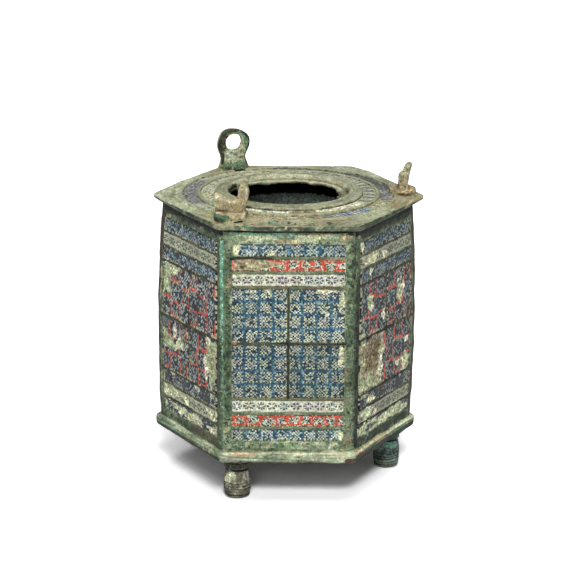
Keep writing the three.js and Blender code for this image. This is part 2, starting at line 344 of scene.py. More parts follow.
# Khaki and grainy, as cast.
lug_bronze = patina("khaki_bronze", ("#696a50", "#8b8b6c", "#a09e7e", "#b1ad8c", "#c6c2a1"), 0.9, 1.1, 0.14)
# Warm tan, where most of the green has come away.
tan_lug_bronze = patina(
    "tan_bronze", ("#857c5d", "#a09470", "#b0a47f", "#bcb18c", "#cbc19f"), 0.7, 0.8, 0.12, 0.3, (0.3, 0.3, 1),
)
# Brown with grey-green patches, streaked round by turning.
foot_bronze = patina(
    "brown_green_bronze", ("#332e26", "#4d473b", "#676050", "#827d6a", "#a8a992"), 0.8, 1.0, 0.14,
    0.45, (0.15, 0.15, 1.7),
)
# Dark blue-green, streaked the same way.
dark_foot_bronze = patina(
    "dark_teal_bronze", ("#2b3632", "#45544f", "#596c65", "#70867c", "#93aa9f"), 0.8, 1.0, 0.14,
    0.45, (0.15, 0.15, 1.7),
)
print("bronzes", [m.name for m in bpy.data.materials if m.name.endswith("_bronze")])

# %% [markdown]
# ## Mosaic glass
# The enamel is opaque glass. Rods of blue, white and red were fused into square canes, sliced, laid in
# the cells of the plates and ground flat. A checker texture could draw the squares, but it would be too
# regular. So each little square of a cane is one face of a grid, and its colour is stored on the face:
# the joints then bend and waver as they do in hand-made glass. Where glass is lost, a painted value
# brings up the crust in the bottom of the cell.

# %% Noises of the glass
# A noise is its size in millimetres, its detail and its roughness. A part is a noise, where it starts
# and ends, and what it gives there. Pits and grit are drawn coarser than they are, so that they show.
GLASS_NOISES = {
    "drift": (6.7, 5, 0.6), "cloud": (2.08, 7, 0.68), "crumb": (1.11, 5, 0.7), "grain": (0.625, 4, 0.7),
}
GLASS_PARTS = {
    "grit": ("grain", 0.36, 0.64, 0.6, 1.4), "pits": ("crumb", 0.3, 0.4, 0.5, 1.0),
    "shift": ("cloud", 0.36, 0.64, -0.12, 0.12), "sand": ("grain", 0.36, 0.64, 0.3, 1.7),
    "lumps": ("crumb", 0.36, 0.64, 0.4, 1.6), "flake": ("crumb", 0.5, 0.6, 0.0, 0.04),
}
# The crust in an empty cell, from brown dirt through tan and pale green to cream and white.
CRUST = (
    (0.18, "#80775c"), (0.3, "#ac9e7e"), (0.42, "#a2ae87"), (0.52, "#b0be98"), (0.75, "#d8d4b0"),
)
print("parts of the glass", list(GLASS_PARTS))

# %% Mosaic glass
def mosaic_glass(name, film):
    """Opaque glass in the colours of its canes, under a grey film, with the crust of lost places."""
    made, tree = new_material(name)
    place = add(tree, "ShaderNodeTexCoord").outputs["Object"]
    cane, tone, lost = (
        add(tree, "ShaderNodeAttribute", attribute_name=key, attribute_type="GEOMETRY").outputs[socket]
        for key, socket in (("cane", "Color"), ("tone", "Fac"), ("loss", "Fac"))
    )
    noise = {}
    for key, (size, detail, rough) in GLASS_NOISES.items():
        noise[key] = add(
            tree, "ShaderNodeTexNoise", {"Vector": place},
            {"Scale": grain(size), "Detail": detail, "Roughness": rough},
        ).outputs[0]
    part = {}
    parts = dict(GLASS_PARTS, film=("drift", 0.35, 0.7, film * 0.3, film * 1.7))
    for key, (source, low, high, first, last) in parts.items():
        part[key] = add(
            tree, "ShaderNodeMapRange", {"Value": noise[source]},
            {"From Min": low, "From Max": high, "To Min": first, "To Max": last},
        ).outputs[0]
    under = {0: part["film"], 6: cane}
    colour = add(tree, "ShaderNodeMix", under, {7: linear("#8b9282")}, data_type="RGBA").outputs[2]
    colour = speckled(tree, colour, [part["grit"], part["pits"]])
    stain = add(tree, "ShaderNodeMath", {0: tone, 1: part["shift"]}, operation="ADD")
    crust = add(tree, "ShaderNodeValToRGB", {0: stain.outputs[0]})
    steps = crust.color_ramp.elements
    steps[0].color, steps[1].color = linear("#564734"), linear("#e4e1cf")
    for at, code in CRUST:
        steps.new(at).color = linear(code)
    crusty = speckled(tree, crust.outputs[0], [part["sand"], part["lumps"], part["pits"]])
    ragged = add(tree, "ShaderNodeMath", {0: noise["cloud"], 1: lost}, operation="ADD").outputs[0]
    chipped = add(tree, "ShaderNodeMath", {0: ragged, 1: part["flake"]}, operation="ADD").outputs[0]
    chips = add(
        tree, "ShaderNodeMapRange", {"Value": chipped}, {"From Min": 0.94, "From Max": 0.97, "To Max": 0.8},
    ).outputs[0]
    under = {0: chips, 6: colour}
    colour = add(tree, "ShaderNodeMix", under, {7: linear("#dcd9c4")}, data_type="RGBA").outputs[2]
    bare = add(
        tree, "ShaderNodeMapRange", {"Value": ragged}, {"From Min": 0.96, "From Max": 1.02},
    ).outputs[0]
    colour = add(tree, "ShaderNodeMix", {0: bare, 6: colour, 7: crusty}, data_type="RGBA").outputs[2]
    gloss = add(tree, "ShaderNodeMapRange", {"Value": bare}, {"To Min": 0.42, "To Max": 0.85}).outputs[0]
    relief = add(tree, "ShaderNodeMath", {0: noise["grain"], 1: noise["cloud"]}, operation="ADD").outputs[0]
    bump = add(tree, "ShaderNodeBump", {"Height": relief}, {"Strength": 0.5, "Distance": 0.2 * MM}).outputs[0]
    skin = add(
        tree, "ShaderNodeBsdfPrincipled", {"Base Color": colour, "Roughness": gloss, "Normal": bump},
        {"IOR": 1.5, "Specular IOR Level": 0.25},
    )
    add(tree, "ShaderNodeOutputMaterial", {"Surface": skin.outputs[0]})
    return made


# Clean, bright glass on the sides, and worn and then weathered, greyer glass in the two rings of the top.
enamel = mosaic_glass("mosaic_glass", 0.05)
worn_enamel = mosaic_glass("worn_mosaic_glass", 0.24)
dull_enamel = mosaic_glass("weathered_mosaic_glass", 0.42)
print("glass", enamel.name, worn_enamel.name, dull_enamel.name)

# %% [markdown]
# ## Helpers for modelling
# Each piece starts from a primitive that is shaped in edit mode. Then it gets what casting, filing and
# burial did to it: a voxel remesh gives it an even skin of small faces, two displacements bend and
# roughen that skin, and a smooth rounds the edges as wear does.

# %% Selecting and finishing
def alone(piece):
    """Leaves edit mode and makes one object the only selected and the active one."""
    if bpy.context.object and bpy.context.object.mode == "EDIT":
        bpy.ops.object.mode_set(mode="OBJECT")
    bpy.ops.object.select_all(action="DESELECT")
    piece.select_set(True)
    bpy.context.view_layer.objects.active = piece


def edit(piece, pick="SELECT"):
    alone(piece)
    bpy.ops.object.mode_set(mode="EDIT")
    bpy.ops.mesh.select_mode(type="VERT")
    bpy.ops.mesh.select_all(action=pick)


def select(piece, parts, test):
    """Selects the vertices, edges or polygons of a piece whose middle and corners, in mm, pass the test."""
    edit(piece, "DESELECT")
    bpy.ops.mesh.select_mode(type={"vertices": "VERT", "edges": "EDGE", "polygons": "FACE"}[parts])
    bpy.ops.object.mode_set(mode="OBJECT")
    points = [v.co / MM for v in piece.data.vertices]
    for part in getattr(piece.data, parts):
        ends = [points[part.index]] if parts == "vertices" else [points[i] for i in part.vertices]
        part.select = test(sum(ends, Vector()) / len(ends), ends)
    bpy.ops.object.mode_set(mode="EDIT")


def close_up(piece):
    """Turns all faces of a closed shell outwards and leaves edit mode."""
    bpy.ops.mesh.select_all(action="SELECT")
    bpy.ops.mesh.normals_make_consistent(inside=False)
    alone(piece)


def copy_of(piece):
    alone(piece)
    bpy.ops.object.duplicate()
    return bpy.context.object


def finish_with(piece, kind, **settings):
    """Adds a modifier and applies it."""
    alone(piece)
    modifier = piece.modifiers.new(kind.lower(), kind)
    for key, value in settings.items():
        setattr(modifier, key, value)
    bpy.ops.object.modifier_apply(modifier=modifier.name)


bpy.ops.object.select_all(action="DESELECT")
print("selected", len(bpy.context.selected_objects))

# %% Bending and roughening
def clouds(name, size, depth=2):
    """A texture of coloured clouds of this size in millimetres, made when it is first asked for."""
    made = bpy.data.textures.get(name)
    if made is None:
        made = bpy.data.textures.new(name, "CLOUDS")
        made.noise_scale = size * MM
        made.noise_depth = depth
        made.cloud_type = "COLOR"
    return made


def waver(piece, texture, strength, group=""):
    """Pushes the points of a piece about, by up to half the strength in millimetres each way."""
    finish_with(
        piece, "DISPLACE", texture=texture, direction="RGB_TO_XYZ", strength=strength * MM, mid_level=0.5,
        vertex_group=group,
    )


def weather(piece, waves, crust, rounds):
    """Bends a piece as a casting is bent, roughens its skin and rounds its edges."""
    waver(piece, clouds("slow_waves", 5.0), waves)
    lumps = clouds("crust_lumps", 0.9, 3)
    finish_with(piece, "DISPLACE", texture=lumps, direction="NORMAL", strength=crust * MM, mid_level=0.5)
    finish_with(piece, "SMOOTH", factor=0.5, iterations=rounds)


def points_of(piece):
    """The points of a piece in millimetres, as an array."""
    points = np.empty(len(piece.data.vertices) * 3, np.float32)
    piece.data.vertices.foreach_get("co", points)
    return points.reshape(-1, 3) / MM


def move_points(piece, points):
    piece.data.vertices.foreach_set("co", (points * MM).astype(np.float32).ravel())
    piece.data.update()


def bow(piece):
    """Swells the left and right corners of the box a little at half height, as the old plates have bent."""
    points = points_of(piece)
    x, z = points[:, 0], points[:, 2]
    high, low = ((np.maximum(z, 40) - 40) / 28) ** 2, ((40 - np.minimum(z, 40)) / 26) ** 2
    swell = np.where(x < 0, 1.05 - 1.05 * high - 0.6 * low, 0.45 - 0.95 * high - 0.75 * low)
    points[:, 0] += np.sign(x) * swell * np.clip((np.abs(x) - 18) / 15, 0, 1)
    move_points(piece, points)


print("textures so far", len(bpy.data.textures))

# %% Painting coats
def coat_on(piece, coat, amount):
    """Adds a coat to the points of a piece where it is thicker than what is there."""
    layer = piece.data.attributes.get(coat) or piece.data.attributes.new(coat, "FLOAT", "POINT")
    before = np.zeros(len(amount), np.float32)
    layer.data.foreach_get("value", before)
    layer.data.foreach_set("value", np.maximum(before, amount).astype(np.float32))


def paint(piece, coat, strokes):
    """Paints a coat near each stroke: its two ends in millimetres, its reach and its amount."""
    points = points_of(piece)
    amount = np.zeros(len(points))
    for start, end, reach, strength in strokes:
        start, way = np.array(start, float), np.array(end, float) - np.array(start, float)
        along = np.clip((points - start) @ way / max(way @ way, 1e-9), 0, 1)
        away = np.linalg.norm(points - start - along[:, None] * way, axis=1)
        amount = np.maximum(amount, strength * np.clip(1.4 - 1.4 * (away / reach) ** 2, 0, 1))
    coat_on(piece, coat, amount)


def paint_all(piece, stains):
    """Paints several coats, each with its own list of strokes."""
    for coat, strokes in stains.items():
        paint(piece, coat, strokes)


def sprinkle(lines, count, reach, amount, chance):
    """Strokes at chance places along lines, for stains that may lie anywhere."""
    spots = []
    for _ in range(count):
        start, end = lines[int(chance.integers(len(lines)))]
        at = np.array(start) + (np.array(end) - np.array(start)) * chance.random() + chance.normal(0, 0.4, 3)
        size = reach * (0.5 + chance.random())
        spots.append((at, at + chance.normal(0, 0.8, 3), size, amount * (0.75 + 0.5 * chance.random())))
    return spots


def settle(piece, name, node, material):
    """Names a finished piece, gives it its finish, puts it under the root and hides the solid it stands for.
    """
    alone(piece)
    bpy.ops.object.transform_apply()
    bpy.ops.object.shade_smooth()
    piece.name = name
    piece.data.name = name
    piece.data.materials.clear()
    piece.data.materials.append(material)
    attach(piece, "root")
    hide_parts(node)


# %% [markdown]
# ## Side plates
# A side plate is a flat casting, 33 by 57.6 mm, with sunk cells for the glass. It could be built up of
# strips, but the real one is a single casting, so it is cut from a block: bisect draws the edges of the
# cells, and one extrude sinks all of them. Its ends are mitred, so the inner face is narrower. All six
# plates are copies, and each is weathered in its own place, so no two are alike. Corrosion has filled the
# joints, so the plates run a little into each other and into the base.

# %% Sizes of the body
SIDE, SIDE_LOW, SIDE_HIGH, THICK = 33.0, 14.1, 71.7, 2.2
APOTHEM = SIDE * math.cos(math.pi / 6)
FACE = -APOTHEM
HALF = 14.0
BANDS = [(64.9, 67.9), (61.1, 64.1), (57.3, 60.3), (24.4, 27.4), (20.6, 23.6), (16.8, 19.8)]
FIELD_LOW, FIELD_HIGH, CROSS = 28.2, 56.5, 0.85
FIELD_MID = (FIELD_LOW + FIELD_HIGH) / 2
SINK = 0.9
SIDES = ["front", "front_right", "back_right", "back", "back_left", "front_left"]
CELLS = [(-HALF, HALF, low, high) for low, high in BANDS] + [
    (a, b, c, d)
    for a, b in ((-HALF, -CROSS / 2), (CROSS / 2, HALF))
    for c, d in ((FIELD_LOW, FIELD_MID - CROSS / 2), (FIELD_MID + CROSS / 2, FIELD_HIGH))
]
print("cells on a side", len(CELLS), "middle of the cross", FIELD_MID)

# %% One side plate
CORNER_LAP, BASE_LAP, CORNER_CUT, PLATE_GRAIN = 0.5, 0.5, 32.5, 0.28
PLATE_LOW = SIDE_LOW - BASE_LAP
bpy.ops.object.select_all(action="DESELECT")
bpy.ops.mesh.primitive_cube_add(size=1)
blank = bpy.context.object
edit(blank)
bpy.ops.transform.resize(value=((SIDE + CORNER_LAP) * MM, THICK * MM, (SIDE_HIGH - PLATE_LOW) * MM))
bpy.ops.transform.translate(value=(0, (FACE + THICK / 2) * MM, (PLATE_LOW + SIDE_HIGH) / 2 * MM))
select(blank, "vertices", lambda p, e: p.y > FACE + 1)
bpy.ops.transform.resize(value=(1 - 2 * THICK * math.tan(math.pi / 6) / SIDE, 1, 1))
for end in (-1, 1):
    out = Vector((end * 0.5, -math.cos(math.pi / 6), 0))
    edit(blank)
    bpy.ops.mesh.bisect(plane_co=out * CORNER_CUT * MM, plane_no=out, use_fill=True, clear_outer=True)
for u in sorted({u for cell in CELLS for u in cell[:2]}):
    bpy.ops.mesh.select_all(action="SELECT")
    bpy.ops.mesh.bisect(plane_co=(u * MM, 0, 0), plane_no=(1, 0, 0))
for z in sorted({z for cell in CELLS for z in cell[2:]}):
    bpy.ops.mesh.select_all(action="SELECT")
    bpy.ops.mesh.bisect(plane_co=(0, 0, z * MM), plane_no=(0, 0, 1))


def in_a_cell(p, ends):
    return p.y < FACE + 0.01 and any(a < p.x < b and c < p.z < d for a, b, c, d in CELLS)


select(blank, "polygons", in_a_cell)
bpy.ops.mesh.extrude_region_move(TRANSFORM_OT_translate={"value": (0, SINK * MM, 0)})
finish_with(blank, "REMESH", mode="VOXEL", voxel_size=PLATE_GRAIN * MM)
print("plate faces", len(blank.data.polygons))

# %% [markdown]
# ## Stains and painted shade of the side plates
# Water has left verdigris along the corners, dirt lies dark in the joints and along the strips, and a crack
# runs over one lost plaque. Painted shadow lies under the top plate and along the strips of the oblique
# sides. Noise alone would spread these anywhere. So they are painted as strokes, each in its own place on the
# three sides that the picture shows, and chance sprinkles smaller stains along the frames of all six.

# %% Stains and painted shade of the side plates
def stroke(u0, z0, u1, z1, reach, amount):
    """A painted stroke on the face of the front side, from (u0, z0) to (u1, z1) in millimetres."""
    return (u0, FACE, z0), (u1, FACE, z1), reach, amount


CRACK_LINE = [
    (-14.2, 64.1), (-12.6, 64.5), (-11.4, 64.2), (-10.2, 64.5), (-8.6, 64.6), (-7.2, 64.3), (-5.8, 64.6),
    (-4.4, 64.3),
]
CRACK = [stroke(*start, *end, 0.36, 0.7) for start, end in zip(CRACK_LINE, CRACK_LINE[1:])]
PLATE_STAINS_AND_SHADE = {
    "front": {
        "frost": [stroke(-16.8, 22, -16.8, 70, 0.8, 0.12), stroke(15.2, 16, 15.2, 70, 1.6, 0.04)],
        "pitch": [stroke(15.4, 16, 15.4, 70, 1.6, 0.12), stroke(-14.9, 16, -14.9, 66, 1.2, 0.18)],
        "pale": [
            stroke(-9, 69.4, -5, 69.8, 1.2, 0.34), stroke(2, 69.4, 7, 69.7, 1.2, 0.32),
            stroke(-13, 69, 13, 69.4, 2.0, 0.18), stroke(-14.2, 44, -14.2, 56, 0.7, 0.2),
            stroke(-12, 15.6, 12, 15.6, 1.4, 0.22), stroke(-15.6, 15, -15.4, 22, 1.6, 0.18),
        ],
        "moss": [
            stroke(-15.4, 24, -15.4, 50, 1.7, 0.26), stroke(-15.8, 50, -15.4, 62, 1.4, 0.24),
            stroke(15, 36, 15, 68, 1.5, 0.16), stroke(-13, 15.4, 8, 15.4, 1.5, 0.14),
        ],
        "verdigris": [
            stroke(-16.8, 48, -16.8, 70, 0.8, 0.29), stroke(-16.8, 28, -16.8, 48, 0.8, 0.22),
            stroke(-14, 71, -1, 70.8, 1.0, 0.24), stroke(-16.4, 16, -16.3, 34, 0.7, 0.18),
            stroke(-1, 70.2, 1, 70.2, 1.0, 0.2),
        ],
        "dark": [
            stroke(-15.2, 26, -15.2, 50, 1.2, 0.2), stroke(15.4, 40, 15.4, 68, 1.6, 0.18),
            stroke(15.6, 16, 15.6, 40, 1.4, 0.14),
        ],
        "tan": [
            stroke(-3, 68.6, 2, 68.8, 1.0, 0.22), stroke(13, 69.5, 15, 70, 1.0, 0.3),
            stroke(-15.2, 57, -14.6, 58.6, 0.8, 0.24), stroke(14, 15.2, 15.8, 17, 1.4, 0.22),
            stroke(5, 70.2, 8, 70.4, 0.8, 0.2),
        ],
        "brown": [stroke(-13.6, 63.2, -14.4, 60, 0.8, 0.2), stroke(15, 16, 15.2, 36, 2.4, 0.17)],
        "umber": [stroke(13.6, 15.4, 15.4, 15.8, 0.8, 0.2), stroke(16.2, 54, 16.2, 62, 0.8, 0.2)],
        "rust": [stroke(-13.9, 42.4, -13.0, 42.4, 0.5, 0.32), stroke(-15.4, 57.6, -15, 58.4, 0.5, 0.18)],
        "soot_and_shadow": [stroke(16.6, 15, 16.6, 71, 0.8, 0.3)],
    },
    "front_left": {
        "frost": [stroke(16.3, 40, 16.3, 69, 1.4, 0.13), stroke(16.3, 24, 16.3, 40, 1.2, 0.08)],
        "pitch": [stroke(15.2, 15, 15.2, 60, 1.2, 0.14), stroke(-15.6, 15, -15.6, 70, 1.4, 0.12)],
        "moss": [
            stroke(-16, 15, -16, 57, 1.6, 0.24), stroke(-12, 70, 12, 70, 1.6, 0.18),
            stroke(-14, 15.6, 3, 15.6, 1.6, 0.2), stroke(15.6, 15, 15.6, 60, 1.3, 0.24),
        ],
        "verdigris": [
            stroke(16.3, 56, 16.3, 68, 1.4, 0.32), stroke(16.4, 44, 16.3, 56, 1.3, 0.28),
            stroke(16.4, 30, 16.4, 44, 1.2, 0.2), stroke(-16.4, 52, -16.4, 58, 0.8, 0.3),
            stroke(-6, 69.6, 8, 69.6, 1.0, 0.16),
        ],
        # The dark band along the top frame is painted shadow under the top plate.
        "dark": [
            stroke(-13, 70.4, 13, 70.4, 1.6, 0.26), stroke(15.2, 26, 15.2, 44, 1.3, 0.22),
            stroke(-15, 15, -15, 56, 0.8, 0.26), stroke(-13, 15.2, 12, 15.2, 1.0, 0.2),
        ],
        "umber": [
            stroke(-14.9, 57, -14.4, 71, 1.5, 0.28), stroke(14.0, 15, 14.0, 60, 0.5, 0.24),
            stroke(2, 15.8, 13, 15.8, 1.3, 0.19), stroke(15.4, 15, 15.4, 26, 1.3, 0.12),
        ],
        "brown": [stroke(2, 15.6, 13, 15.6, 1.6, 0.22)],
        "tan": [
            stroke(-12.6, 68.4, -11, 68.8, 0.8, 0.3), stroke(-14.4, 48, -14.2, 55, 0.6, 0.22),
            stroke(5, 69.6, 7, 70.2, 0.6, 0.2),
        ],
        # The black along the two strips is painted shadow.
        "soot_and_shadow": [
            stroke(14.2, 30, 14.2, 42, 0.5, 0.26), stroke(-16.4, 15, -16.4, 71, 0.9, 0.26),
            stroke(-10, 20.2, 1, 20.1, 0.7, 0.5), stroke(-13, 27.8, 10, 27.8, 0.4, 0.24),
        ],
    },
    "front_right": {
        "frost": [stroke(-15.6, 20, -15.6, 70, 1.2, 0.05)],
        "pitch": [
            stroke(-15.2, 15, -15.2, 70, 1.4, 0.14), stroke(-14, 69.6, 14, 69.6, 1.6, 0.1),
            stroke(15.4, 15, 15.4, 70, 1.4, 0.14),
        ],
        "moss": [
            stroke(-13, 15.4, 13, 15.4, 1.8, 0.16), stroke(-15.4, 20, -15.4, 66, 1.3, 0.18),
            stroke(15, 15, 15, 70, 1.2, 0.16),
        ],
        # The dark band along the top frame is painted shadow under the top plate.
        "dark": [
            stroke(-13, 70.4, 13, 70.4, 2.2, 0.3), stroke(-15.2, 15, -15.2, 56, 1.6, 0.21),
            stroke(-15.2, 56, -15.2, 66, 1.4, 0.18), stroke(-13, 15.4, 13, 15.4, 1.6, 0.26),
            stroke(15, 15, 15, 70, 1.4, 0.24),
        ],
        "brown": [stroke(-12, 69.4, 12, 69.4, 1.4, 0.22), stroke(-14.6, 56, -14.4, 66, 1.0, 0.2)],
        "pale": [stroke(-15, 69.8, -13.8, 70, 0.9, 0.36)],
        "umber": [stroke(-14.2, 36, -14.2, 60, 0.8, 0.2), stroke(15, 15, 15, 70, 1.2, 0.24)],
        # The black just under the top plate and along the strips is painted shadow.
        "soot_and_shadow": [
            stroke(-15.0, 15, -14.9, 58, 1.1, 0.25), stroke(-16.5, 58, -16.5, 71, 0.8, 0.3),
            stroke(-14.0, 18, -14.0, 40, 0.5, 0.3), stroke(16.3, 15, 16.3, 71, 1.2, 0.36),
            stroke(-16.5, 71.2, 16.5, 71.2, 1.2, 0.6), stroke(-13, 28.0, 12, 28.0, 0.5, 0.34),
            stroke(-13, 20.2, 13, 20.2, 0.6, 0.34), stroke(-13.6, 42.3, 4, 42.3, 0.7, 0.5),
            stroke(-13.6, 24.0, 0, 24.0, 0.6, 0.4),
        ],
    },
}
PLATE_STAINS_AND_SHADE["front"]["soot_and_shadow"] += CRACK
print("stained sides", list(PLATE_STAINS_AND_SHADE))

# %% Frames and strips
FRAME_LINES = [
    ((-15.3, FACE, 15), (-15.3, FACE, 71)), ((15.3, FACE, 15), (15.3, FACE, 71)),
    ((-15, FACE, 69.8), (15, FACE, 69.8)), ((-15, FACE, 15.4), (15, FACE, 15.4)),
]
STRIPS = [stroke(0, FIELD_LOW, 0, FIELD_HIGH, 0.6, 0.24)]
STRIPS += [stroke(-HALF, z, HALF, z, 0.6, 0.24) for z in (FIELD_LOW - 0.4, FIELD_MID, FIELD_HIGH + 0.4)]
STRIPS += [stroke(-HALF, z, HALF, z, 0.5, 0.18) for z in (64.5, 60.7, 24.0, 20.2)]
# On the oblique sides the strips are painted umber and black, partly dirt and partly painted shade.
DIRT_AND_SHADE_ON_STRIPS = {
    "umber": STRIPS,
    "soot_and_shadow": [(start, end, reach, 0.85 * amount) for start, end, reach, amount in STRIPS],
}
DIRTY_CROSS = {
    "dark": [
        stroke(0, FIELD_LOW, 0, FIELD_HIGH, 0.6, 0.3),
        stroke(-HALF, FIELD_MID, HALF, FIELD_MID, 0.6, 0.3),
    ],
    "soot_and_shadow": [
        stroke(0, FIELD_LOW, 0, FIELD_MID, 0.5, 0.26), stroke(-2, FIELD_MID, HALF, FIELD_MID, 0.4, 0.24),
    ],
}
print("strips", len(STRIPS))

# %% Six side plates
for turn, side in enumerate(SIDES):
    chance = np.random.default_rng(10 + turn)
    oblique = turn % 2 == 1
    plate = copy_of(blank)
    paint(plate, "brown", STRIPS)
    paint_all(plate, DIRT_AND_SHADE_ON_STRIPS if oblique else DIRTY_CROSS)
    for coat, count, reach, amount in (
        ("umber" if oblique else "tan", 26, 0.5, 0.22), ("moss", 40, 0.7, 0.22), ("pale", 40, 0.5, 0.18),
        ("dark", 40, 0.5, 0.24),
    ):
        paint(plate, coat, sprinkle(FRAME_LINES, count, reach, amount, chance))
    # Along its top each plate is painted black as the shadow under the top plate, deeper on the oblique
    # sides.
    paint(plate, "soot_and_shadow", [stroke(-16.5, SIDE_HIGH, 16.5, SIDE_HIGH, 2.0 if oblique else 0.9, 0.5)])
    # The inside gets a chalky coat, partly its crust and partly painted light, and above a line that sinks to
    # the left and right it is painted black as the shadow under the top.
    inner = points_of(plate)[:, 1] > FACE + 1.7
    coat_on(plate, "chalk_and_light", 0.6 * inner)
    paint_all(plate, PLATE_STAINS_AND_SHADE.get(side, {}))
    plate.rotation_euler.z = turn * math.pi / 3
    bpy.ops.object.transform_apply()
    points = points_of(plate)
    painted_shadow_from = 66.6 - 0.007 * points[:, 0] ** 2
    coat_on(plate, "soot_and_shadow", 0.7 * inner * np.clip((points[:, 2] - painted_shadow_from) / 1.5, 0, 1))
    weather(plate, 0.45, 0.14, 2)
    bow(plate)
    settle(
        plate, side + "_side_plate", side + "_plate", dark_side_bronze if oblique else side_bronze,
    )
bpy.data.objects.remove(blank)
print("side plates", len(SIDES))

# %% [markdown]
# ## Glass in the side plates
# Two designs of cane fillings take turns round the box. On the front, checks of white on blue fill four
# fields of sixteen plaques each, between bands of checks, red plaques and little flowers. Its neighbours
# have fields of nine larger plaques, blue and red-framed by turns. Every grid is filled face by face from
# a rule. A rule gets the cane across and the cane up: its number, the place in it and its width.

# %% Colours of the canes
GLASS = {
    "white": "#c4cab0", "cream": "#d3d3ba", "blue": "#265469", "ink": "#193445", "deep": "#070d18",
    "navy": "#12293f", "red": "#c5462f", "brick": "#a5452f", "pink": "#c58a72", "petal": "#33475f",
    "grey": "#8a9290", "dull": "#b1b496", "slate": "#39474b", "paste": "#bdbb99", "dirty": "#a9a58e",
    "ash": "#aab8b4", "plum": "#55535f", "mauve": "#9d9a9c", "buff": "#b9a88b", "sky": "#6f8f9a",
    "pine": "#22393c", "royal": "#1f5f94",
}
GLASS = {key: np.array(linear(code)[:3]) for key, code in GLASS.items()}
print("glass colours", len(GLASS))

# %% Rules of the checks and plaques
def blue_checks(across, up, light="white", dark="ink", gap="blue"):
    """Seven by seven checks with a plain gap between the plaques. They are drawn coarse enough to show."""
    if across[1] > 6 or up[1] > 6:
        return gap
    return light if (across[1] + up[1]) % 2 == 0 else dark


def pale_checks(across, up):
    """The same checks, bleached."""
    return blue_checks(across, up, "white", "blue", "sky" if across[0] % 3 == 0 and up[1] % 2 else "blue")


def plain_checks(across, up):
    """The same checks on one blue."""
    return blue_checks(across, up, "white", "blue", "blue")


def dusk_checks(across, up):
    """The same checks on a darker blue."""
    return blue_checks(across, up, "ash", "ink", "blue")


def dark_checks(across, up):
    """The same checks, darker and greyer."""
    return blue_checks(across, up, "ash" if across[0] % 3 else "slate", "deep", "navy")


def red_plaques(across, up):
    """Slanting red bars between large checks of white and dark green, and broken red lines at the edges."""
    cane, place = across[:2]
    lean = (0, (up[1] - 5) // 3, (6 - up[1]) // 3)[cane % 3]
    if 0 <= place - lean - 1 < 4:
        return "red"
    if (up[1] < 3 and cane % 4 != 1) or (up[1] > up[2] - 4 and cane % 5 != 2):
        return "red"
    return "white" if (place // 2 + up[1] // 2 + cane) % 2 == 0 else "pine"


FRAME_COLOURS = ("red", "red", "brick", "red", "navy", "red", "red")


def big_plaques(across, up):
    """Plaques of nine by nine checks, plain and red-framed by turns, drawn coarse enough to show."""
    light = (across[1] + up[1]) % 2 == 0
    if (across[0] + up[0]) % 2 == 0:
        return "ash" if light else "deep"
    edge, which = min((across[1], 0), (8 - across[1], 1), (up[1], 2), (8 - up[1], 3))
    if edge < 1 + ((across[0] + 2 * up[0] + which) % 4 == 0):
        return FRAME_COLOURS[(3 * across[0] + 5 * up[0] + 3 * which) % 7]
    if edge < 3:
        return "buff" if light else "navy"
    return "dirty" if light else "deep"


print("corner of a red-framed plaque", big_plaques((1, 0, 9), (0, 0, 9)))

# %% Rules of the flowers
def flowers(across, up, ground="cream", petals="petal", heart="pink"):
    """A flower of six or eight petals, wider than it is high, in each cane."""
    cane, place, width = across
    x, y = (place + 0.5) / width * 2 - 1, ((up[1] + 0.5) / up[2] * 2 - 1) * 1.4
    r, turn = math.hypot(x, y), math.atan2(y, x)
    if r < 0.2:
        return heart if cane % 4 == 1 else ground
    count = 6 if cane % 2 else 8
    petal = abs((turn / (2 * math.pi / count) + 0.5) % 1 - 0.5) < 0.3
    return petals if petal and 0.3 < r < 0.86 else ground


def dull_flowers(across, up):
    """The same flowers, worn to grey."""
    return flowers(across, up, "dull", "slate", "slate")


print("heart of a flower", flowers((1, 8, 17), (0, 8, 17)))

# %% Fillings
# A filling is its rule, the squares across and up, the narrowest and widest cane across and up, and how
# far the canes ran into each other when they were fused, in millimetres.
PALE_BAND = (pale_checks, 71, 8, (8, 10), (8, 8), 0.3)
BLUE_BAND = (plain_checks, 71, 8, (8, 10), (8, 8), 0.3)
DUSK_BAND = (dusk_checks, 71, 8, (8, 10), (8, 8), 0.2)
DARK_BAND = (dark_checks, 71, 8, (8, 10), (8, 8), 0.2)
RED_BAND = (red_plaques, 102, 12, (10, 13), (12, 12), 1.0)
FLOWER_BAND = (flowers, 154, 17, (14, 19), (17, 17), 0.2)
DULL_BAND = (dull_flowers, 154, 17, (14, 19), (17, 17), 0.2)
BLUE_FIELD = (blue_checks, 35, 35, (9, 9), (9, 9), 0.65)
RED_FIELD = (big_plaques, 27, 27, (9, 9), (9, 9), 0.8)
DESIGNS = [
    ([PALE_BAND, RED_BAND, FLOWER_BAND, FLOWER_BAND, RED_BAND, BLUE_BAND], BLUE_FIELD),
    ([DUSK_BAND, DULL_BAND, DUSK_BAND, DARK_BAND, DULL_BAND, DARK_BAND], RED_FIELD),
]
# Squares that turned out another colour: for each colour, what chance lower than a share makes of it.
GREYED, CLOUDED = ((0.1, "grey"),), ((0.1, "sky"), (0.5, "deep"))
SLIPS = {
    "dirty": CLOUDED, "ash": CLOUDED, "buff": CLOUDED, "ink": GREYED, "navy": GREYED, "deep": GREYED,
    "petal": GREYED, "white": ((0.1, "grey"), (0.22, "navy")), "pine": ((0.3, "white"), (0.45, "petal")),
    "blue": ((0.24, "sky"), (0.36, "ink")), "red": ((0.1, "white"), (0.18, "pink"), (0.3, "brick")),
}
print("designs", len(DESIGNS))

# %% [markdown]
# ## Lost glass
# Much of the glass has fallen out, and the crust in the bottom of the cells shows brown, tan, pale green
# or white. The losses of the three sides in the picture are put where they are there, and those of the
# other three are guessed. A boolean could cut them out, but a sunk dip with a ragged painted edge looks
# more like glass that has crumbled.

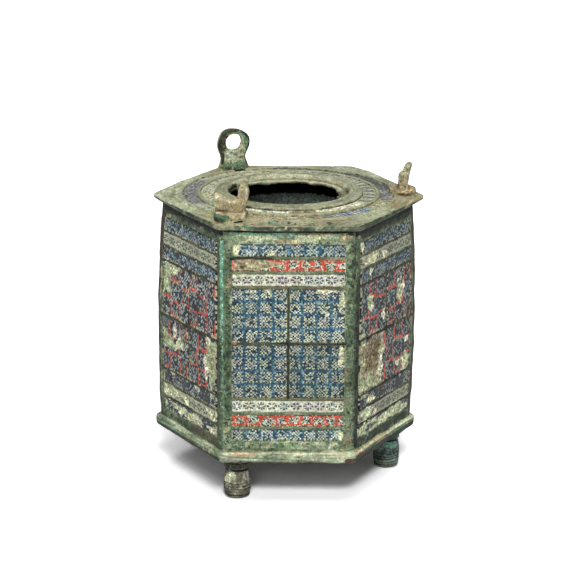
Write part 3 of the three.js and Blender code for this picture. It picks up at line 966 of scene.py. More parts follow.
# %% Where glass is lost
# A loss is its middle (across, up), two half sizes in millimetres, and a tone from 0, brown, to 1, white.
LOSSES = {
    "front": [
        (-9.3, 62.6, 5.0, 2.0, 0.29), (-6.6, 62.8, 1.0, 1.0, 0.5), (-4.2, 65.4, 0.9, 0.9, 0.75),
        (-13.1, 66.8, 1.1, 1.5, 0.7), (8.8, 56.2, 2.0, 0.8, 0.75), (-5.2, 56.2, 0.9, 0.6, 0.75),
        (13.4, 54.0, 0.5, 3.0, 0.65), (13.3, 39.5, 0.6, 2.6, 0.7), (-1.6, 17.0, 0.8, 0.5, 0.6),
        (-13.2, 59.4, 0.5, 0.9, 0.75), (13.2, 18.0, 0.6, 1.4, 0.6), (9.6, 50.0, 0.5, 0.6, 0.9),
    ],
    "front_left": [
        (-11.4, 53.2, 2.2, 3.6, 0.5), (-7.6, 55.4, 2.2, 1.2, 0.6), (-13.4, 50.0, 0.7, 2.5, 0.72),
        (-11.8, 36.2, 2.8, 1.8, 0.48), (-7.2, 39.0, 0.7, 2.0, 0.95), (-4.5, 36.5, 1.8, 1.5, 0.65),
        (-9.0, 35.0, 2.4, 1.1, 0.45), (11.2, 36.0, 2.0, 5.8, 0.4), (8.6, 33.0, 0.9, 2.2, 0.9),
        (8.0, 36.0, 0.9, 0.7, 0.95), (9.8, 41.0, 1.2, 1.0, 0.75), (-13.4, 26.2, 0.7, 1.6, 0.7),
        (4.0, 26.9, 1.6, 0.5, 0.9), (-8.5, 27.3, 1.4, 0.4, 0.9), (-9.2, 22.4, 4.2, 1.5, 0.62),
        (12.0, 22.0, 1.8, 1.5, 0.6), (-1.5, 22.2, 1.1, 1.3, 0.6), (2.0, 18.0, 5.0, 1.2, 0.66),
        (-13.0, 18.0, 1.2, 1.5, 0.7), (-5.0, 18.6, 4.2, 0.8, 0.6), (12.0, 17.8, 2.0, 1.0, 0.68),
    ],
    "front_right": [
        (-8.6, 51.5, 1.3, 1.9, 0.5), (-7.2, 50.0, 0.7, 0.8, 1.0), (-1.5, 46.3, 0.9, 1.3, 1.0),
        (7.3, 50.0, 1.2, 2.4, 0.6), (9.0, 51.5, 0.6, 1.0, 0.9), (6.2, 53.3, 0.5, 0.6, 0.9),
        (-6.8, 36.6, 4.6, 5.2, 0.15), (-11.8, 37.0, 1.5, 6.5, 0.4), (-8.0, 30.4, 5.0, 1.8, 0.45),
        (-11.0, 33.8, 1.2, 1.2, 0.2), (-2.6, 33.0, 1.2, 2.6, 0.85), (-2.0, 36.6, 0.8, 1.2, 0.8),
        (11.4, 30.4, 2.6, 2.2, 0.6), (11.2, 36.6, 1.2, 0.8, 0.95), (6.7, 31.2, 1.0, 0.6, 0.9),
        (-8.6, 62.6, 3.8, 1.4, 0.68), (-1.2, 62.3, 1.0, 1.0, 0.8), (-8.3, 59.4, 0.9, 0.7, 0.75),
        (-13.0, 66.6, 0.7, 1.3, 0.7), (-10.8, 27.0, 1.6, 0.6, 0.55), (-7.2, 25.4, 2.0, 0.8, 0.72),
        (-1.5, 26.8, 1.4, 0.5, 0.05), (-9.5, 22.0, 2.6, 1.5, 0.6), (-4.6, 21.5, 0.9, 0.8, 0.8),
        (-11.4, 18.2, 2.2, 1.4, 0.55), (4.5, 18.2, 8.6, 1.4, 0.6), (-6.0, 19.1, 2.8, 0.5, 0.6),
    ],
    "back_right": [
        (-6.0, 62.6, 3.0, 2.0, 0.5), (7.5, 47.0, 2.4, 3.0, 0.5), (-9.0, 31.0, 2.8, 2.6, 0.65),
        (9.0, 22.0, 4.0, 1.6, 0.25),
    ],
    "back": [
        (-8.0, 50.0, 2.6, 4.4, 0.5), (9.5, 33.0, 2.6, 3.6, 0.2), (4.0, 18.4, 8.0, 1.6, 0.62),
        (-4.0, 66.0, 4.0, 1.4, 0.6), (3.0, 53.0, 0.9, 1.4, 0.95),
    ],
    "back_left": [
        (8.0, 52.0, 2.2, 3.0, 0.55), (-9.0, 40.0, 3.0, 2.4, 0.25), (-3.0, 22.0, 5.0, 1.5, 0.6),
        (11.0, 66.4, 2.4, 1.4, 0.7),
    ],
}
print("losses", sum(len(v) for v in LOSSES.values()))

# %% A grid of canes
# A slab's thickness, how far the corners of a square are off, as a share of its width, and how much deeper
# one of two fields lies where both lap over a hidden strip.
SLAB_THICK, CORNER_SLIP, LAPPED_STEP = 0.6, 0.26, 0.04


def cane_plan(cells, low, high, chance):
    """Cuts a row of cells into canes of chance widths: each cell's cane, place in it and cane width."""
    plan = []
    cane = 0
    while len(plan) < cells:
        width = int(chance.integers(low, high + 1))
        plan += [(cane, place, width) for place in range(width)]
        cane += 1
    return plan[:cells]


def fill_with_canes(slab, filling, cell, chance, sink, first, shade, open_side):
    """Stores the colour of its cane on each face. first shifts the turns of a design, shade darkens it."""
    rule, wide, tall, across_widths, up_widths = filling[:5]
    u0, u1, z0, z1 = cell
    centres = np.array([p.center[:] for p in slab.data.polygons]) / MM
    columns = np.clip(((centres[:, 0] - u0) / (u1 - u0) * wide).astype(int), 0, wide - 1)
    rows = np.clip(((z1 - centres[:, 2]) / (z1 - z0) * tall).astype(int), 0, tall - 1)
    plan_across = cane_plan(wide, *across_widths, chance)
    plan_across = [(cane + first, place, width) for cane, place, width in plan_across]
    plan_up = cane_plan(tall, *up_widths, chance)
    canes = (plan_across[-1][0] + 1, plan_up[-1][0] + 1)
    tints = 0.88 + 0.24 * chance.random((*canes, 1))
    tints = tints + 0.025 * chance.standard_normal((*canes, 3))
    colours = np.ones((len(columns), 4), np.float32)
    for face, (i, j) in enumerate(zip(columns, rows)):
        # Paste or dark glass shows along the edges of a cell, and its upper edge is mostly painted dark as
        # its shade.
        end = (i == 0 and open_side != -1) or (i == wide - 1 and open_side != 1)
        if j == 0 and chance.random() < 0.7:
            glass = "slate"
        elif end or j in (0, tall - 1):
            glass = "paste" if chance.random() < 0.5 else "slate" if sink > 0 else "deep"
        else:
            glass = rule(plan_across[i], plan_up[j])
            roll = chance.random()
            glass = next((other for share, other in SLIPS.get(glass, ()) if roll < share), glass)
        level = (1.0 if glass in ("red", "brick") else shade) * (0.8 + 0.4 * chance.random())
        colours[face, :3] = GLASS[glass] * tints[plan_across[i][0], plan_up[j][0]] * level
    layer = slab.data.attributes.new("cane", "FLOAT_COLOR", "FACE")
    layer.data.foreach_set("color", colours.ravel())


def glass_slab(filling, cell, chance, sink, first=0, shade=1.0, open_side=0):
    """A grid in a cell of the front side whose faces are the squares of the canes, with a back and edges."""
    wide, tall, melt = filling[1], filling[2], filling[5]
    u0, u1, z0, z1 = cell
    bpy.ops.object.select_all(action="DESELECT")
    bpy.ops.mesh.primitive_grid_add(
        x_subdivisions=wide, y_subdivisions=tall, size=1, rotation=(math.pi / 2, 0, 0),
    )
    slab = bpy.context.object
    slab.scale = ((u1 - u0) * MM, (z1 - z0) * MM, 1)
    slab.location = ((u0 + u1) / 2 * MM, (FACE + sink) * MM, (z0 + z1) / 2 * MM)
    bpy.ops.object.transform_apply()
    fill_with_canes(slab, filling, cell, chance, sink, first, shade, open_side)
    edit(slab)
    bpy.ops.transform.vertex_random(
        offset=CORNER_SLIP * (u1 - u0) / wide * MM, uniform=1.0, normal=0.0,
        seed=int(chance.integers(1, 9999)),
    )
    alone(slab)
    border = slab.vertex_groups.new(name="inside")
    for vertex in slab.data.vertices:
        u, z = vertex.co.x / MM, vertex.co.z / MM
        near = min(u - u0, u1 - u, z - z0, z1 - z)
        border.add([vertex.index], min(1.0, max(0.0, near / 0.5)), "REPLACE")
    waver(slab, clouds("fused_canes", 1.3), melt, "inside")
    slab.vertex_groups.clear()
    points = points_of(slab)
    points[:, 1] = FACE + sink + (LAPPED_STEP if open_side == -1 else 0.0)
    move_points(slab, points)
    edit(slab)
    bpy.ops.mesh.extrude_region_move(TRANSFORM_OT_translate={"value": (0, SLAB_THICK * MM, 0)})
    close_up(slab)
    return slab


print("canes along a blue field", cane_plan(35, 9, 9, np.random.default_rng(1))[-1][0] + 1)

# %% Losing and laying glass
LOSS_DEPTH = 0.3


def keep_on_points(piece, key, values):
    """Stores one number on each point of a piece."""
    piece.data.attributes.new(key, "FLOAT", "POINT").data.foreach_set("value", values.astype(np.float32))


def lose_glass(slab, losses):
    """Stores how much glass is gone on each point, and sinks those points."""
    points = np.array([v.co[:] for v in slab.data.vertices]) / MM
    gone, tone, weights = np.zeros(len(points)), np.full(len(points), 0.0005), np.full(len(points), 0.001)
    for u, z, du, dz, shade in losses:
        x, y = (points[:, 0] - u) / du, (points[:, 2] - z) / dz
        way = np.arctan2(y, x)
        jags = 1 + 0.22 * np.sin(3 * way + 7 * u) + 0.16 * np.sin(5 * way + 3 * z)
        near = 1.25 - np.hypot(x, y) * 0.75 * (jags + 0.12 * np.sin(9 * way + 5 * u))
        weight = np.exp(7 * near)
        tone, weights = tone + weight * shade, weights + weight
        gone = np.maximum(gone, near)
    keep_on_points(slab, "loss", np.clip(gone, 0, 1))
    keep_on_points(slab, "tone", tone / weights)
    group = slab.vertex_groups.new(name="lost")
    for index, value in enumerate(np.clip((gone - 0.45) * 4, 0, 1)):
        if value > 0:
            group.add([index], float(value), "REPLACE")
    finish_with(slab, "DISPLACE", direction="Y", strength=LOSS_DEPTH * MM, mid_level=0.0, vertex_group="lost")


def lay_glass(slabs, turn, name, node):
    """Joins the slabs of one node, bends them a little and turns them to their side."""
    alone(slabs[0])
    for slab in slabs:
        slab.select_set(True)
    if len(slabs) > 1:
        bpy.ops.object.join()
    piece = slabs[0]
    waver(piece, clouds("hand_laid", 4.0), 0.35)
    piece.rotation_euler.z = turn * math.pi / 3
    bpy.ops.object.transform_apply()
    bow(piece)
    settle(piece, name, node, enamel)


print("losses sink by", LOSS_DEPTH, "mm")

# %% Glass of the six sides
# The first of each pair is for the front's design and the second for its neighbours': how far the glass laps
# over the strips and over the ends of the cells, and how deep it lies. One half of the cross is hidden under
# the glass on two sides, the lower rows are darker, and the glass of the two oblique sides in front, the
# right one most, is painted darker as shade, all but its red.
LAPS, END_LAPS, SINKS = (0.1, 0.2), (0.1, -0.45), (0.16, 0.0)
CROSS_LAP, HIDING_LAP = 0.2, 0.55
HIDDEN_STRIPS = {"front_left": "upper", "front_right": "lower"}
ROW_SHADES, SIDE_SHADES = {"upper": 1.0, "lower": 0.84}, {"front_left": 0.95, "front_right": 0.7}
for turn, side in enumerate(SIDES):
    chance = np.random.default_rng(40 + turn)
    bands, field = DESIGNS[turn % 2]
    lap, end_lap, sink = LAPS[turn % 2], END_LAPS[turn % 2], SINKS[turn % 2]
    side_shade = SIDE_SHADES.get(side, 1.0)
    for number, ((low, high), band) in enumerate(zip(BANDS, bands), 1):
        cell = (-HALF - end_lap, HALF + end_lap, low - lap, high + lap)
        slab = glass_slab(band, cell, chance, sink, 0, side_shade * (0.95 if number > 3 else 1.0))
        lose_glass(slab, LOSSES[side])
        lay_glass([slab], turn, f"{side}_glass_band_{number}", f"{side}_enamel_band_{number}")
    slabs = []
    for number, (u0, u1, z0, z1) in enumerate(CELLS[6:]):
        row = "upper" if z0 > FIELD_MID else "lower"
        inner = (1 if u0 < -1 else -1) if HIDDEN_STRIPS.get(side) == row else 0
        left = HIDING_LAP if inner == -1 else end_lap if u0 < -1 else CROSS_LAP
        right = HIDING_LAP if inner == 1 else end_lap if u1 > 1 else CROSS_LAP
        low, high = (CROSS_LAP, lap) if row == "upper" else (lap, CROSS_LAP)
        cell = (u0 - left, u1 + right, z0 - low, z1 + high)
        shade = side_shade * ROW_SHADES[row] * (0.88 if number == 2 else 1.0)
        slab = glass_slab(field, cell, chance, sink, number in (0, 3), shade, inner)
        lose_glass(slab, LOSSES[side])
        slabs.append(slab)
    lay_glass(slabs, turn, side + "_glass_fields", side + "_enamel_fields")
print("glass laid on", len(SIDES), "sides")

# %% [markdown]
# ## Turned forms
# The top, the feet and the rings of glass are round. A spin could sweep them, but extruding a circle
# and scaling it from one point of the profile to the next goes as a turner works along a piece, and it
# leaves no seam. The last loop is merged with the first on a ring, and filled on a solid.

# %% Turned forms
def start_circle(steps, radius, height):
    """A circle in edit mode with its edges selected, ready to be extruded."""
    bpy.ops.object.select_all(action="DESELECT")
    bpy.ops.mesh.primitive_circle_add(vertices=steps, radius=radius * MM, location=(0, 0, height * MM))
    piece = bpy.context.object
    bpy.ops.object.transform_apply()
    edit(piece)
    bpy.ops.mesh.select_mode(type="EDGE")
    bpy.ops.mesh.select_all(action="SELECT")
    return piece


def extrude_along(profile):
    """Extrudes the selected loop through a profile of (radius, height) in millimetres."""
    for (r0, z0), (r1, z1) in zip(profile, profile[1:]):
        bpy.ops.mesh.extrude_edges_move(TRANSFORM_OT_translate={"value": (0, 0, (z1 - z0) * MM)})
        bpy.ops.transform.resize(value=(r1 / r0, r1 / r0, 1))


def turned(profile, steps, ring):
    """Sweeps a profile round Z. A ring is closed on itself."""
    piece = start_circle(steps, *profile[0])
    if not ring:
        bpy.ops.mesh.edge_face_add()
        select(piece, "edges", lambda p, e: True)
    extrude_along(profile)
    if ring:
        bpy.ops.mesh.select_all(action="SELECT")
        bpy.ops.mesh.remove_doubles(threshold=0.001 * MM)
    else:
        bpy.ops.mesh.edge_face_add()
    close_up(piece)
    return piece


# %% [markdown]
# ## Base plate
# The base is a six-sided plate whose edge swells out in a rounded moulding. It could be swept along its
# six sides, but a six-cornered cylinder is quicker: its upright edges are bevelled for the soft corners,
# and then its rims for the moulding.

# %% Base plate
BASE_LOW, BASE_OUT, BASE_GRAIN = 10.9, 1.0, 0.33
CORNER_ROUND, RIM_ROUND = 0.8, 0.9
BASE_RADIUS = (APOTHEM + BASE_OUT) / math.cos(math.pi / 6)
bpy.ops.object.select_all(action="DESELECT")
bpy.ops.mesh.primitive_cylinder_add(vertices=6, radius=BASE_RADIUS * MM, depth=(SIDE_LOW - BASE_LOW) * MM)
base = bpy.context.object
base.location.z = (BASE_LOW + SIDE_LOW) / 2 * MM
base.rotation_euler.z = math.pi / 6
bpy.ops.object.transform_apply()
select(base, "edges", lambda p, e: abs(e[0].z - e[1].z) > 1)
bpy.ops.mesh.bevel(offset=CORNER_ROUND * MM, segments=4, affect="EDGES")
select(base, "edges", lambda p, e: abs(e[0].z - e[1].z) < 0.01 and p.xy.length > 25)
bpy.ops.mesh.bevel(offset=RIM_ROUND * MM, segments=4, affect="EDGES")
finish_with(base, "REMESH", mode="VOXEL", voxel_size=BASE_GRAIN * MM)
print("base faces", len(base.data.polygons))

# %% Stains and painted highlights of the base
def flange(side, u0, u1, z, reach, amount):
    """A painted stroke along the flange of one side, from u0 to u1 at one height."""
    turn = math.radians(60 * SIDES.index(side))
    out = np.array([math.sin(turn), -math.cos(turn), 0]) * (APOTHEM + BASE_OUT)
    along = np.array([math.cos(turn), math.sin(turn), 0])
    return out + along * u0 + (0, 0, z), out + along * u1 + (0, 0, z), reach, amount


upper = [flange(side, -16, 16, 13.8, 1, 1)[:2] for side in SIDES]
lower = [flange(side, -16, 16, 11.4, 1, 1)[:2] for side in SIDES]
BASE_STAINS_AND_HIGHLIGHTS = {
    # The pale lines along the top of the flange are painted highlights.
    "pale": [
        flange("front", -16, 16, 13.7, 0.6, 0.26), flange("front_right", -4, 16, 13.9, 0.9, 0.3),
        flange("front_left", -16, 16, 13.2, 0.4, 0.06),
    ],
    "moss": [
        flange("front_left", -16, 16, 13.8, 0.5, 0.2), flange("front_left", -16, 16, 12.2, 1.3, 0.26),
        flange("front", -16, 16, 11.6, 0.8, 0.16), flange("front_right", -16, 16, 12.8, 1.0, 0.3),
        flange("back", -16, 16, 12.6, 1.6, 0.2), flange("back_left", -16, 16, 12.6, 1.6, 0.2),
        flange("back_right", -16, 16, 12.6, 1.6, 0.2),
    ],
    "verdigris": [flange("front_left", -16, -4, 12.4, 1.0, 0.14)],
    "tan": [
        flange("front_right", -16, 2, 14.0, 1.0, 0.3), flange("front", -14, -8, 13.6, 0.8, 0.3),
        flange("front", -2, 4, 13.9, 0.5, 0.3), flange("front", 8, 15, 13.9, 0.6, 0.26),
    ],
    "dark": [
        flange("front_left", -16, 16, 11.5, 1.0, 0.34), flange("front_right", -16, 16, 11.9, 1.1, 0.5),
    ],
    "umber": [
        flange("front", 15.2, 16.6, 11.8, 1.0, 0.5), flange("front_left", 0, 3, 11.6, 0.9, 0.5),
        flange("front_left", 7, 15, 11.2, 0.7, 0.4), flange("front_right", -16, -12, 12.2, 0.8, 0.4),
        flange("front_right", -3, 0, 12.4, 0.6, 0.4),
    ],
    "rust": [flange("front", 6, 16, 14.2, 0.5, 0.3)],
    # The cream lines along the top of the flange are painted highlights.
    "cream": [
        flange("front", -14, 14, 13.9, 0.5, 0.2), flange("front_right", -15, 12, 14.1, 0.7, 0.26),
        flange("front_left", -10, 14, 13.3, 0.4, 0.14),
    ],
    "soot_and_shadow": [
        flange("front_left", -12, 16, 11.0, 0.5, 0.4), flange("front_right", -16, 16, 11.2, 0.7, 0.44),
    ],
}
print("coats of the base", list(BASE_STAINS_AND_HIGHLIGHTS))

# %% Painting the base
chance = np.random.default_rng(21)
for coat, lines, count, reach, amount in (
    ("verdigris", upper + lower, 30, 0.6, 0.13), ("tan", upper, 24, 0.5, 0.18), ("dark", lower, 40, 0.5, 0.2),
    ("umber", lower, 30, 0.5, 0.22),
):
    paint(base, coat, sprinkle(lines, count, reach, amount, chance))
paint_all(base, BASE_STAINS_AND_HIGHLIGHTS)
points = points_of(base)
x, height, radius = points[:, 0], points[:, 2], np.hypot(points[:, 0], points[:, 1])
# The lower edge is painted umber and black, and darker at the right. The bottom is painted black, so that it
# throws little light onto the paper and the shadow under the box stays dark, and the floor inside is pale, so
# that it throws more light up the inside.
coat_on(base, "umber", 0.26 * (radius > 27) * (height < BASE_LOW + 0.6))
coat_on(base, "soot_and_shadow", 0.24 * (radius > 27) * (height < BASE_LOW + 0.35))
coat_on(base, "dark", 0.18 * (radius > 27) * (height < 12.6) * (x > 17))
coat_on(base, "soot_and_shadow", 0.3 * (height < BASE_LOW + 0.2) * (radius < 27))
coat_on(base, "pale", 0.4 * (height > SIDE_LOW - 0.2) * (radius < 26))
weather(base, 0.4, 0.2, 3)
bow(base)
settle(base, "base_moulding", "base_plate", base_bronze)
print("base", base.name)

# %% [markdown]
# ## Top plate
# The top is a six-sided plate that rises gently to its middle, with two sunk rings for glass, a smooth
# broad lip and a sunk seat for a lid. It could start six-sided and have its middle cut round. Here it is
# turned as one round dish, and its rim is then drawn out to six sides, as a smith would hammer it over
# the edge of the box.

# %% Profile of the top plate
RIM, TOP_OUT, TURNED_OUT, DRAWN_FROM, TOP_CORNER = 73.05, 1.64, 36.0, 27.5, 34.45


def fine(profile, step):
    """Adds points to a profile so that its points lie about one step apart, in millimetres."""
    points = [profile[0]]
    for (r0, z0), (r1, z1) in zip(profile, profile[1:]):
        parts = max(1, round(math.hypot(r1 - r0, z1 - z0) / step))
        points += [(r0 + (r1 - r0) * k / parts, z0 + (z1 - z0) * k / parts) for k in range(1, parts + 1)]
    return points


# From the mouth outwards: the seat, the lip with its two fine grooves, the inner groove, a ridge, the
# outer groove and the sloping rim.
SEAT = [(13.3, 72.9), (13.3, 73.6), (15.1, 73.65), (15.3, 74.4)]
LIP = [
    (15.9, 74.95), (16.4, 74.95), (16.6, 74.8), (16.8, 74.93), (17.4, 74.9), (17.6, 74.72), (17.8, 74.8),
    (18.4, 74.6), (18.95, 74.3),
]
GROOVES = [
    (19.1, 73.4), (22.3, 73.4), (22.35, 74.2), (22.6, 74.4), (23.15, 74.35), (23.4, 74.0), (23.45, 73.1),
    (26.95, 73.1), (27.0, 73.9), (27.3, 73.95),
]
SLOPE = [(28.4, 73.5), (30.5, 73.15), (35.2, 73.05), (36.0, 72.7), (36.0, 72.0), (35.4, 71.7)]
UNDERSIDE = [(27.5, 71.7), (18.0, 71.7), (13.3, 72.9)]
lid_plate = turned(fine(SEAT + LIP + GROOVES + SLOPE, 0.38) + UNDERSIDE, 360, True)
print("top faces", len(lid_plate.data.polygons))

# %% Six sides and wear of the top plate
def round_places(piece):
    """The points of a piece, their radii in millimetres and their angles in degrees from 0 to 360."""
    points = points_of(piece)
    turns = np.degrees(np.arctan2(points[:, 1], points[:, 0]))
    return points, np.hypot(points[:, 0], points[:, 1]), turns % 360


def hump(turns, middle, width, power=2):
    """One at an angle, and falling to nothing about a width away on both sides."""
    return np.exp(-((turns - middle) / width) ** power)


points, radius, turns = round_places(lid_plate)
side_line = (APOTHEM + TOP_OUT) / np.cos(np.radians(turns % 60 - 30))
corner_line = TOP_CORNER / np.cos(np.radians((turns + 30) % 60 - 30))
stretch = (np.minimum(side_line, corner_line) - DRAWN_FROM) / (TURNED_OUT - DRAWN_FROM)
drawn = np.where(radius > DRAWN_FROM, DRAWN_FROM + (radius - DRAWN_FROM) * stretch, radius) / radius
points[:, :2] *= drawn[:, None]
radius = radius * drawn
# The rim is lifted at the back, most at two places.
lift = 0.6 + 0.45 * hump(turns, 42, 15) + 0.3 * hump(turns, 152, 15)
points[:, 2] += lift * np.clip((points[:, 1] + 16) / 16, 0, 1) * np.clip((radius - 26.5) / 4, 0, 1)
# The seat is eaten away at the left and at the far diagonals, and stands out a little at the right.
eaten = 1.0 * hump(turns, 46, 18) + 1.1 * hump(turns, 132, 16)
eaten = np.minimum(eaten + 1.7 * hump(turns, 180, 30, 4), 1.75)
eaten = eaten - 0.7 * hump(turns, 14, 7) - 0.4 * hump(turns, 350, 6)
wider = np.where(radius < 15.1, radius + eaten * (15.1 - radius) / 1.8, radius)
points[:, :2] *= (wider / radius)[:, None]
move_points(lid_plate, points)
group = lid_plate.vertex_groups.new(name="seat_edge")
for vertex in lid_plate.data.vertices:
    away = vertex.co.xy.length / MM
    if away < 15:
        group.add([vertex.index], min(1.0, (15 - away) / 1.2), "REPLACE")
waver(lid_plate, clouds("eaten_edge", 1.6, 3), 1.3, "seat_edge")
lid_plate.vertex_groups.clear()
print("the mouth is eaten by up to", round(float(eaten.max()), 2), "mm")

# %% [markdown]
# ## Stains and painted light of the top plate
# The top was handled and lay open to the ground. Its rim is tan and mossy at the front and pale at the sides
# and the back. Thin dark rings in the grooves are painted shade, and thin pale rings on the ridges are
# painted highlights. Round pieces are stained in rings, so each patch here is a part of a ring and not a
# stroke.

# %% Stains and painted light of the top plate
def ring_paint(piece, coat, patches):
    """Paints a coat on parts of rings: two radii, two angles in degrees and an amount."""
    radius, turns = round_places(piece)[1:]
    amount = np.zeros(len(turns))
    for inner, outer, start, end, strength in patches:
        half = (end - start) / 2
        off = np.abs((turns - start - half + 180) % 360 - 180)
        across = np.clip(np.minimum(radius - inner, outer - radius) / 0.3 + 0.5, 0, 1)
        amount = np.maximum(amount, strength * np.clip((half + 5 - off) / 10, 0, 1) * across)
    coat_on(piece, coat, amount)


ALL_ROUND = (-10, 370)
TOP_STAINS_AND_LIGHT = {
    "chalk_and_light": [(15.6, 18.9, -60, 70, 0.14), (27.4, 37, 20, 110, 0.14)],
    "pitch": [(13, 15.9, 10, 170, 0.08), (27.2, 31, 200, 340, 0.05)],
    # The thin pale rings on the ridges and the lip are painted highlights.
    "pale": [
        (27.4, 37, 145, 216, 0.24), (27.4, 37, 300, 338, 0.18), (13, 15.9, 10, 170, 0.26),
        (27.4, 37, 20, 110, 0.14), (22.5, 23.0, *ALL_ROUND, 0.2), (27.1, 27.5, *ALL_ROUND, 0.16),
        (18.2, 18.7, *ALL_ROUND, 0.16), (15.7, 16.2, *ALL_ROUND, 0.18),
    ],
    "moss": [(13, 15.2, 20, 100, 0.12), (30.6, 37, 262, 278, 0.14), (30.8, 37, 216, 324, 0.14)],
    "tan": [
        (26.9, 37, 220, 264, 0.18), (26.9, 37, -26, 16, 0.2), (26.9, 34, 234, 300, 0.17),
        (23.3, 27, 100, 150, 0.2), (23.3, 27, 224, 292, 0.2), (26.9, 31, 96, 140, 0.18),
    ],
    "brown": [
        (18.8, 19.2, *ALL_ROUND, 0.2), (12, 15.4, 342, 384, 0.2), (27, 30, 264, 290, 0.1),
        (26.8, 28, 296, 350, 0.12), (26.9, 27.3, *ALL_ROUND, 0.12),
    ],
    "rust": [
        (13, 15.9, 20, 130, 0.17), (26.9, 31, 226, 256, 0.06), (26.9, 34, -20, 10, 0.08),
        (22.2, 23.4, 262, 285, 0.16),
    ],
    # The cream patch on the rim at the front is a painted highlight.
    "cream": [(13, 15.9, 15, 165, 0.16), (22.3, 23.4, 290, 330, 0.14), (28, 30.5, 262, 290, 0.1)],
    # The thin dark rings in the grooves are painted shade.
    "dark": [
        (18.9, 19.25, *ALL_ROUND, 0.28), (22.2, 22.4, *ALL_ROUND, 0.24), (23.35, 23.55, *ALL_ROUND, 0.24),
        (26.85, 27.05, *ALL_ROUND, 0.24), (15.0, 15.5, 178, 362, 0.24), (29.9, 37, 222, 236, 0.1),
        (30.4, 37, 296, 326, 0.1), (16.5, 16.7, *ALL_ROUND, 0.14), (17.5, 17.7, *ALL_ROUND, 0.16),
        (14.8, 15.6, 150, 220, 0.3),
    ],
    # The thin black ring in the inner groove is painted shade.
    "soot_and_shadow": [
        (18.95, 19.15, *ALL_ROUND, 0.14), (15.15, 15.35, 178, 362, 0.16), (12.9, 13.6, 180, 380, 0.3),
        (14.5, 15.3, 150, 215, 0.3),
    ],
}
print("coats of the top", list(TOP_STAINS_AND_LIGHT))

# %% Painting the top plate
for coat, patches in TOP_STAINS_AND_LIGHT.items():
    ring_paint(lid_plate, coat, patches)
chance = np.random.default_rng(31)
FRONT_RIM = [((-16, -29.4, 73.1), (16, -29.4, 73.1)), ((-13, -28.2, 73.4), (13, -28.2, 73.4))]
for coat, count, reach, amount in (
    ("brown", 60, 0.6, 0.2), ("moss", 40, 0.7, 0.2), ("verdigris", 50, 0.6, 0.2), ("dark", 50, 0.4, 0.24),
):
    paint(lid_plate, coat, sprinkle(FRONT_RIM, count, reach, amount, chance))
points, radius = round_places(lid_plate)[:2]
edge = (points[:, 2] < 72.95) & (radius > 28)
coat_on(lid_plate, "moss", 0.32 * edge)
coat_on(lid_plate, "dark", 0.24 * edge)
coat_on(lid_plate, "pitch", 0.17 * edge * (points[:, 0] > 14))
weather(lid_plate, 0.3, 0.12, 1)
settle(lid_plate, "top_ring_plate", "top_plate", top_bronze)
print("top", lid_plate.name)

# %% [markdown]
# ## Rings of glass in the top
# Two rings of glass run round the mouth. The inner one is white with small flowers, and the outer one is
# of checks, of which much is lost. They are filled face by face like the sides. A grid would have to be
# bent into a ring, so a circle is extruded and scaled outwards, one row of squares at a time.

# %% Rules of the rings
def ring_checks(turn, i, j, rows):
    """Grey-purple checks all round, and the blue and white ones that are left at the front right."""
    light = (i + j) % 2 == 0
    if 296 < turn < 324 and j > 0:
        return "cream" if int(turn / 1.4) % 2 else "royal"
    if 10 < turn < 56:
        return "plum" if light else "slate"
    if 55 < turn < 110:
        return "plum" if light or i % 5 == 0 else "navy"
    return "mauve" if light or i % 13 > 9 else "plum"


def ring_flowers(turn, i, j, rows):
    """Dark blue petals on a cream ring, and pairs of bars at the right."""
    x, y = (i % 18 - 8.5) / 9, (j + 0.5) / rows * 2 - 1
    if (turn + 32) % 360 < 64:
        return "deep" if 0.15 < abs(x) < 0.55 and abs(y) < 0.8 else "cream"
    r, way = math.hypot(x, y), math.atan2(y, x)
    petal = abs((way / (math.pi / 3)) % 1 - 0.5) < 0.3
    return "petal" if petal and 0.3 < r < 0.8 else "cream"


RING_STRAYS = ("buff", "grey", "navy", "white", "slate", "mauve")
print("at the right", ring_flowers(0.0, 4, 7, 14))

# %% A ring of glass
RING_THICK = 0.4


def glass_ring(steps, rows, r0, r1, z, rule, glass, chance, losses, name, node):
    """A flat ring of squares. A loss is two angles, how much glass is gone and the tone of the crust."""
    ring = start_circle(steps, r0, z)
    extrude_along([(r0 + (r1 - r0) * k / rows, z) for k in range(rows + 1)])
    alone(ring)
    centres = np.array([p.center[:] for p in ring.data.polygons]) / MM
    turns = np.degrees(np.arctan2(centres[:, 1], centres[:, 0])) % 360
    depth = (np.hypot(centres[:, 0], centres[:, 1]) - r0) / (r1 - r0) * rows
    depth = np.clip(depth, 0, rows - 0.01).astype(int)
    colours = np.ones((len(turns), 4), np.float32)
    # An extrude leaves its faces in another order each time, so chance goes row by row and round by angle.
    for face in np.lexsort((turns, depth)):
        turn, j = turns[face], depth[face]
        cane = rule(turn, int(turn / 360 * steps), j, rows)
        if cane in ("plum", "mauve") and chance.random() < 0.34:
            cane = RING_STRAYS[int(chance.integers(len(RING_STRAYS)))]
        colours[face, :3] = GLASS[cane] * (0.7 + 0.5 * chance.random())
    ring.data.attributes.new("cane", "FLOAT_COLOR", "FACE").data.foreach_set("color", colours.ravel())
    edit(ring)
    bpy.ops.transform.vertex_random(offset=0.06 * MM, uniform=1.0, normal=0.0, seed=5)
    bpy.ops.mesh.extrude_region_move(TRANSFORM_OT_translate={"value": (0, 0, -RING_THICK * MM)})
    close_up(ring)
    turns = round_places(ring)[2]
    gone, tone = np.zeros(len(turns)), np.full(len(turns), 0.4)
    for low, high, amount, shade in losses:
        inside = ((turns - low) % 360) < ((high - low) % 360)
        gone = np.where(inside, amount, gone)
        tone = np.where(inside, shade, tone)
    keep_on_points(ring, "loss", gone)
    keep_on_points(ring, "tone", tone)
    waver(ring, clouds("hand_laid", 4.0), 0.3)
    settle(ring, name, node, glass)


print("a ring is", RING_THICK, "mm thick")

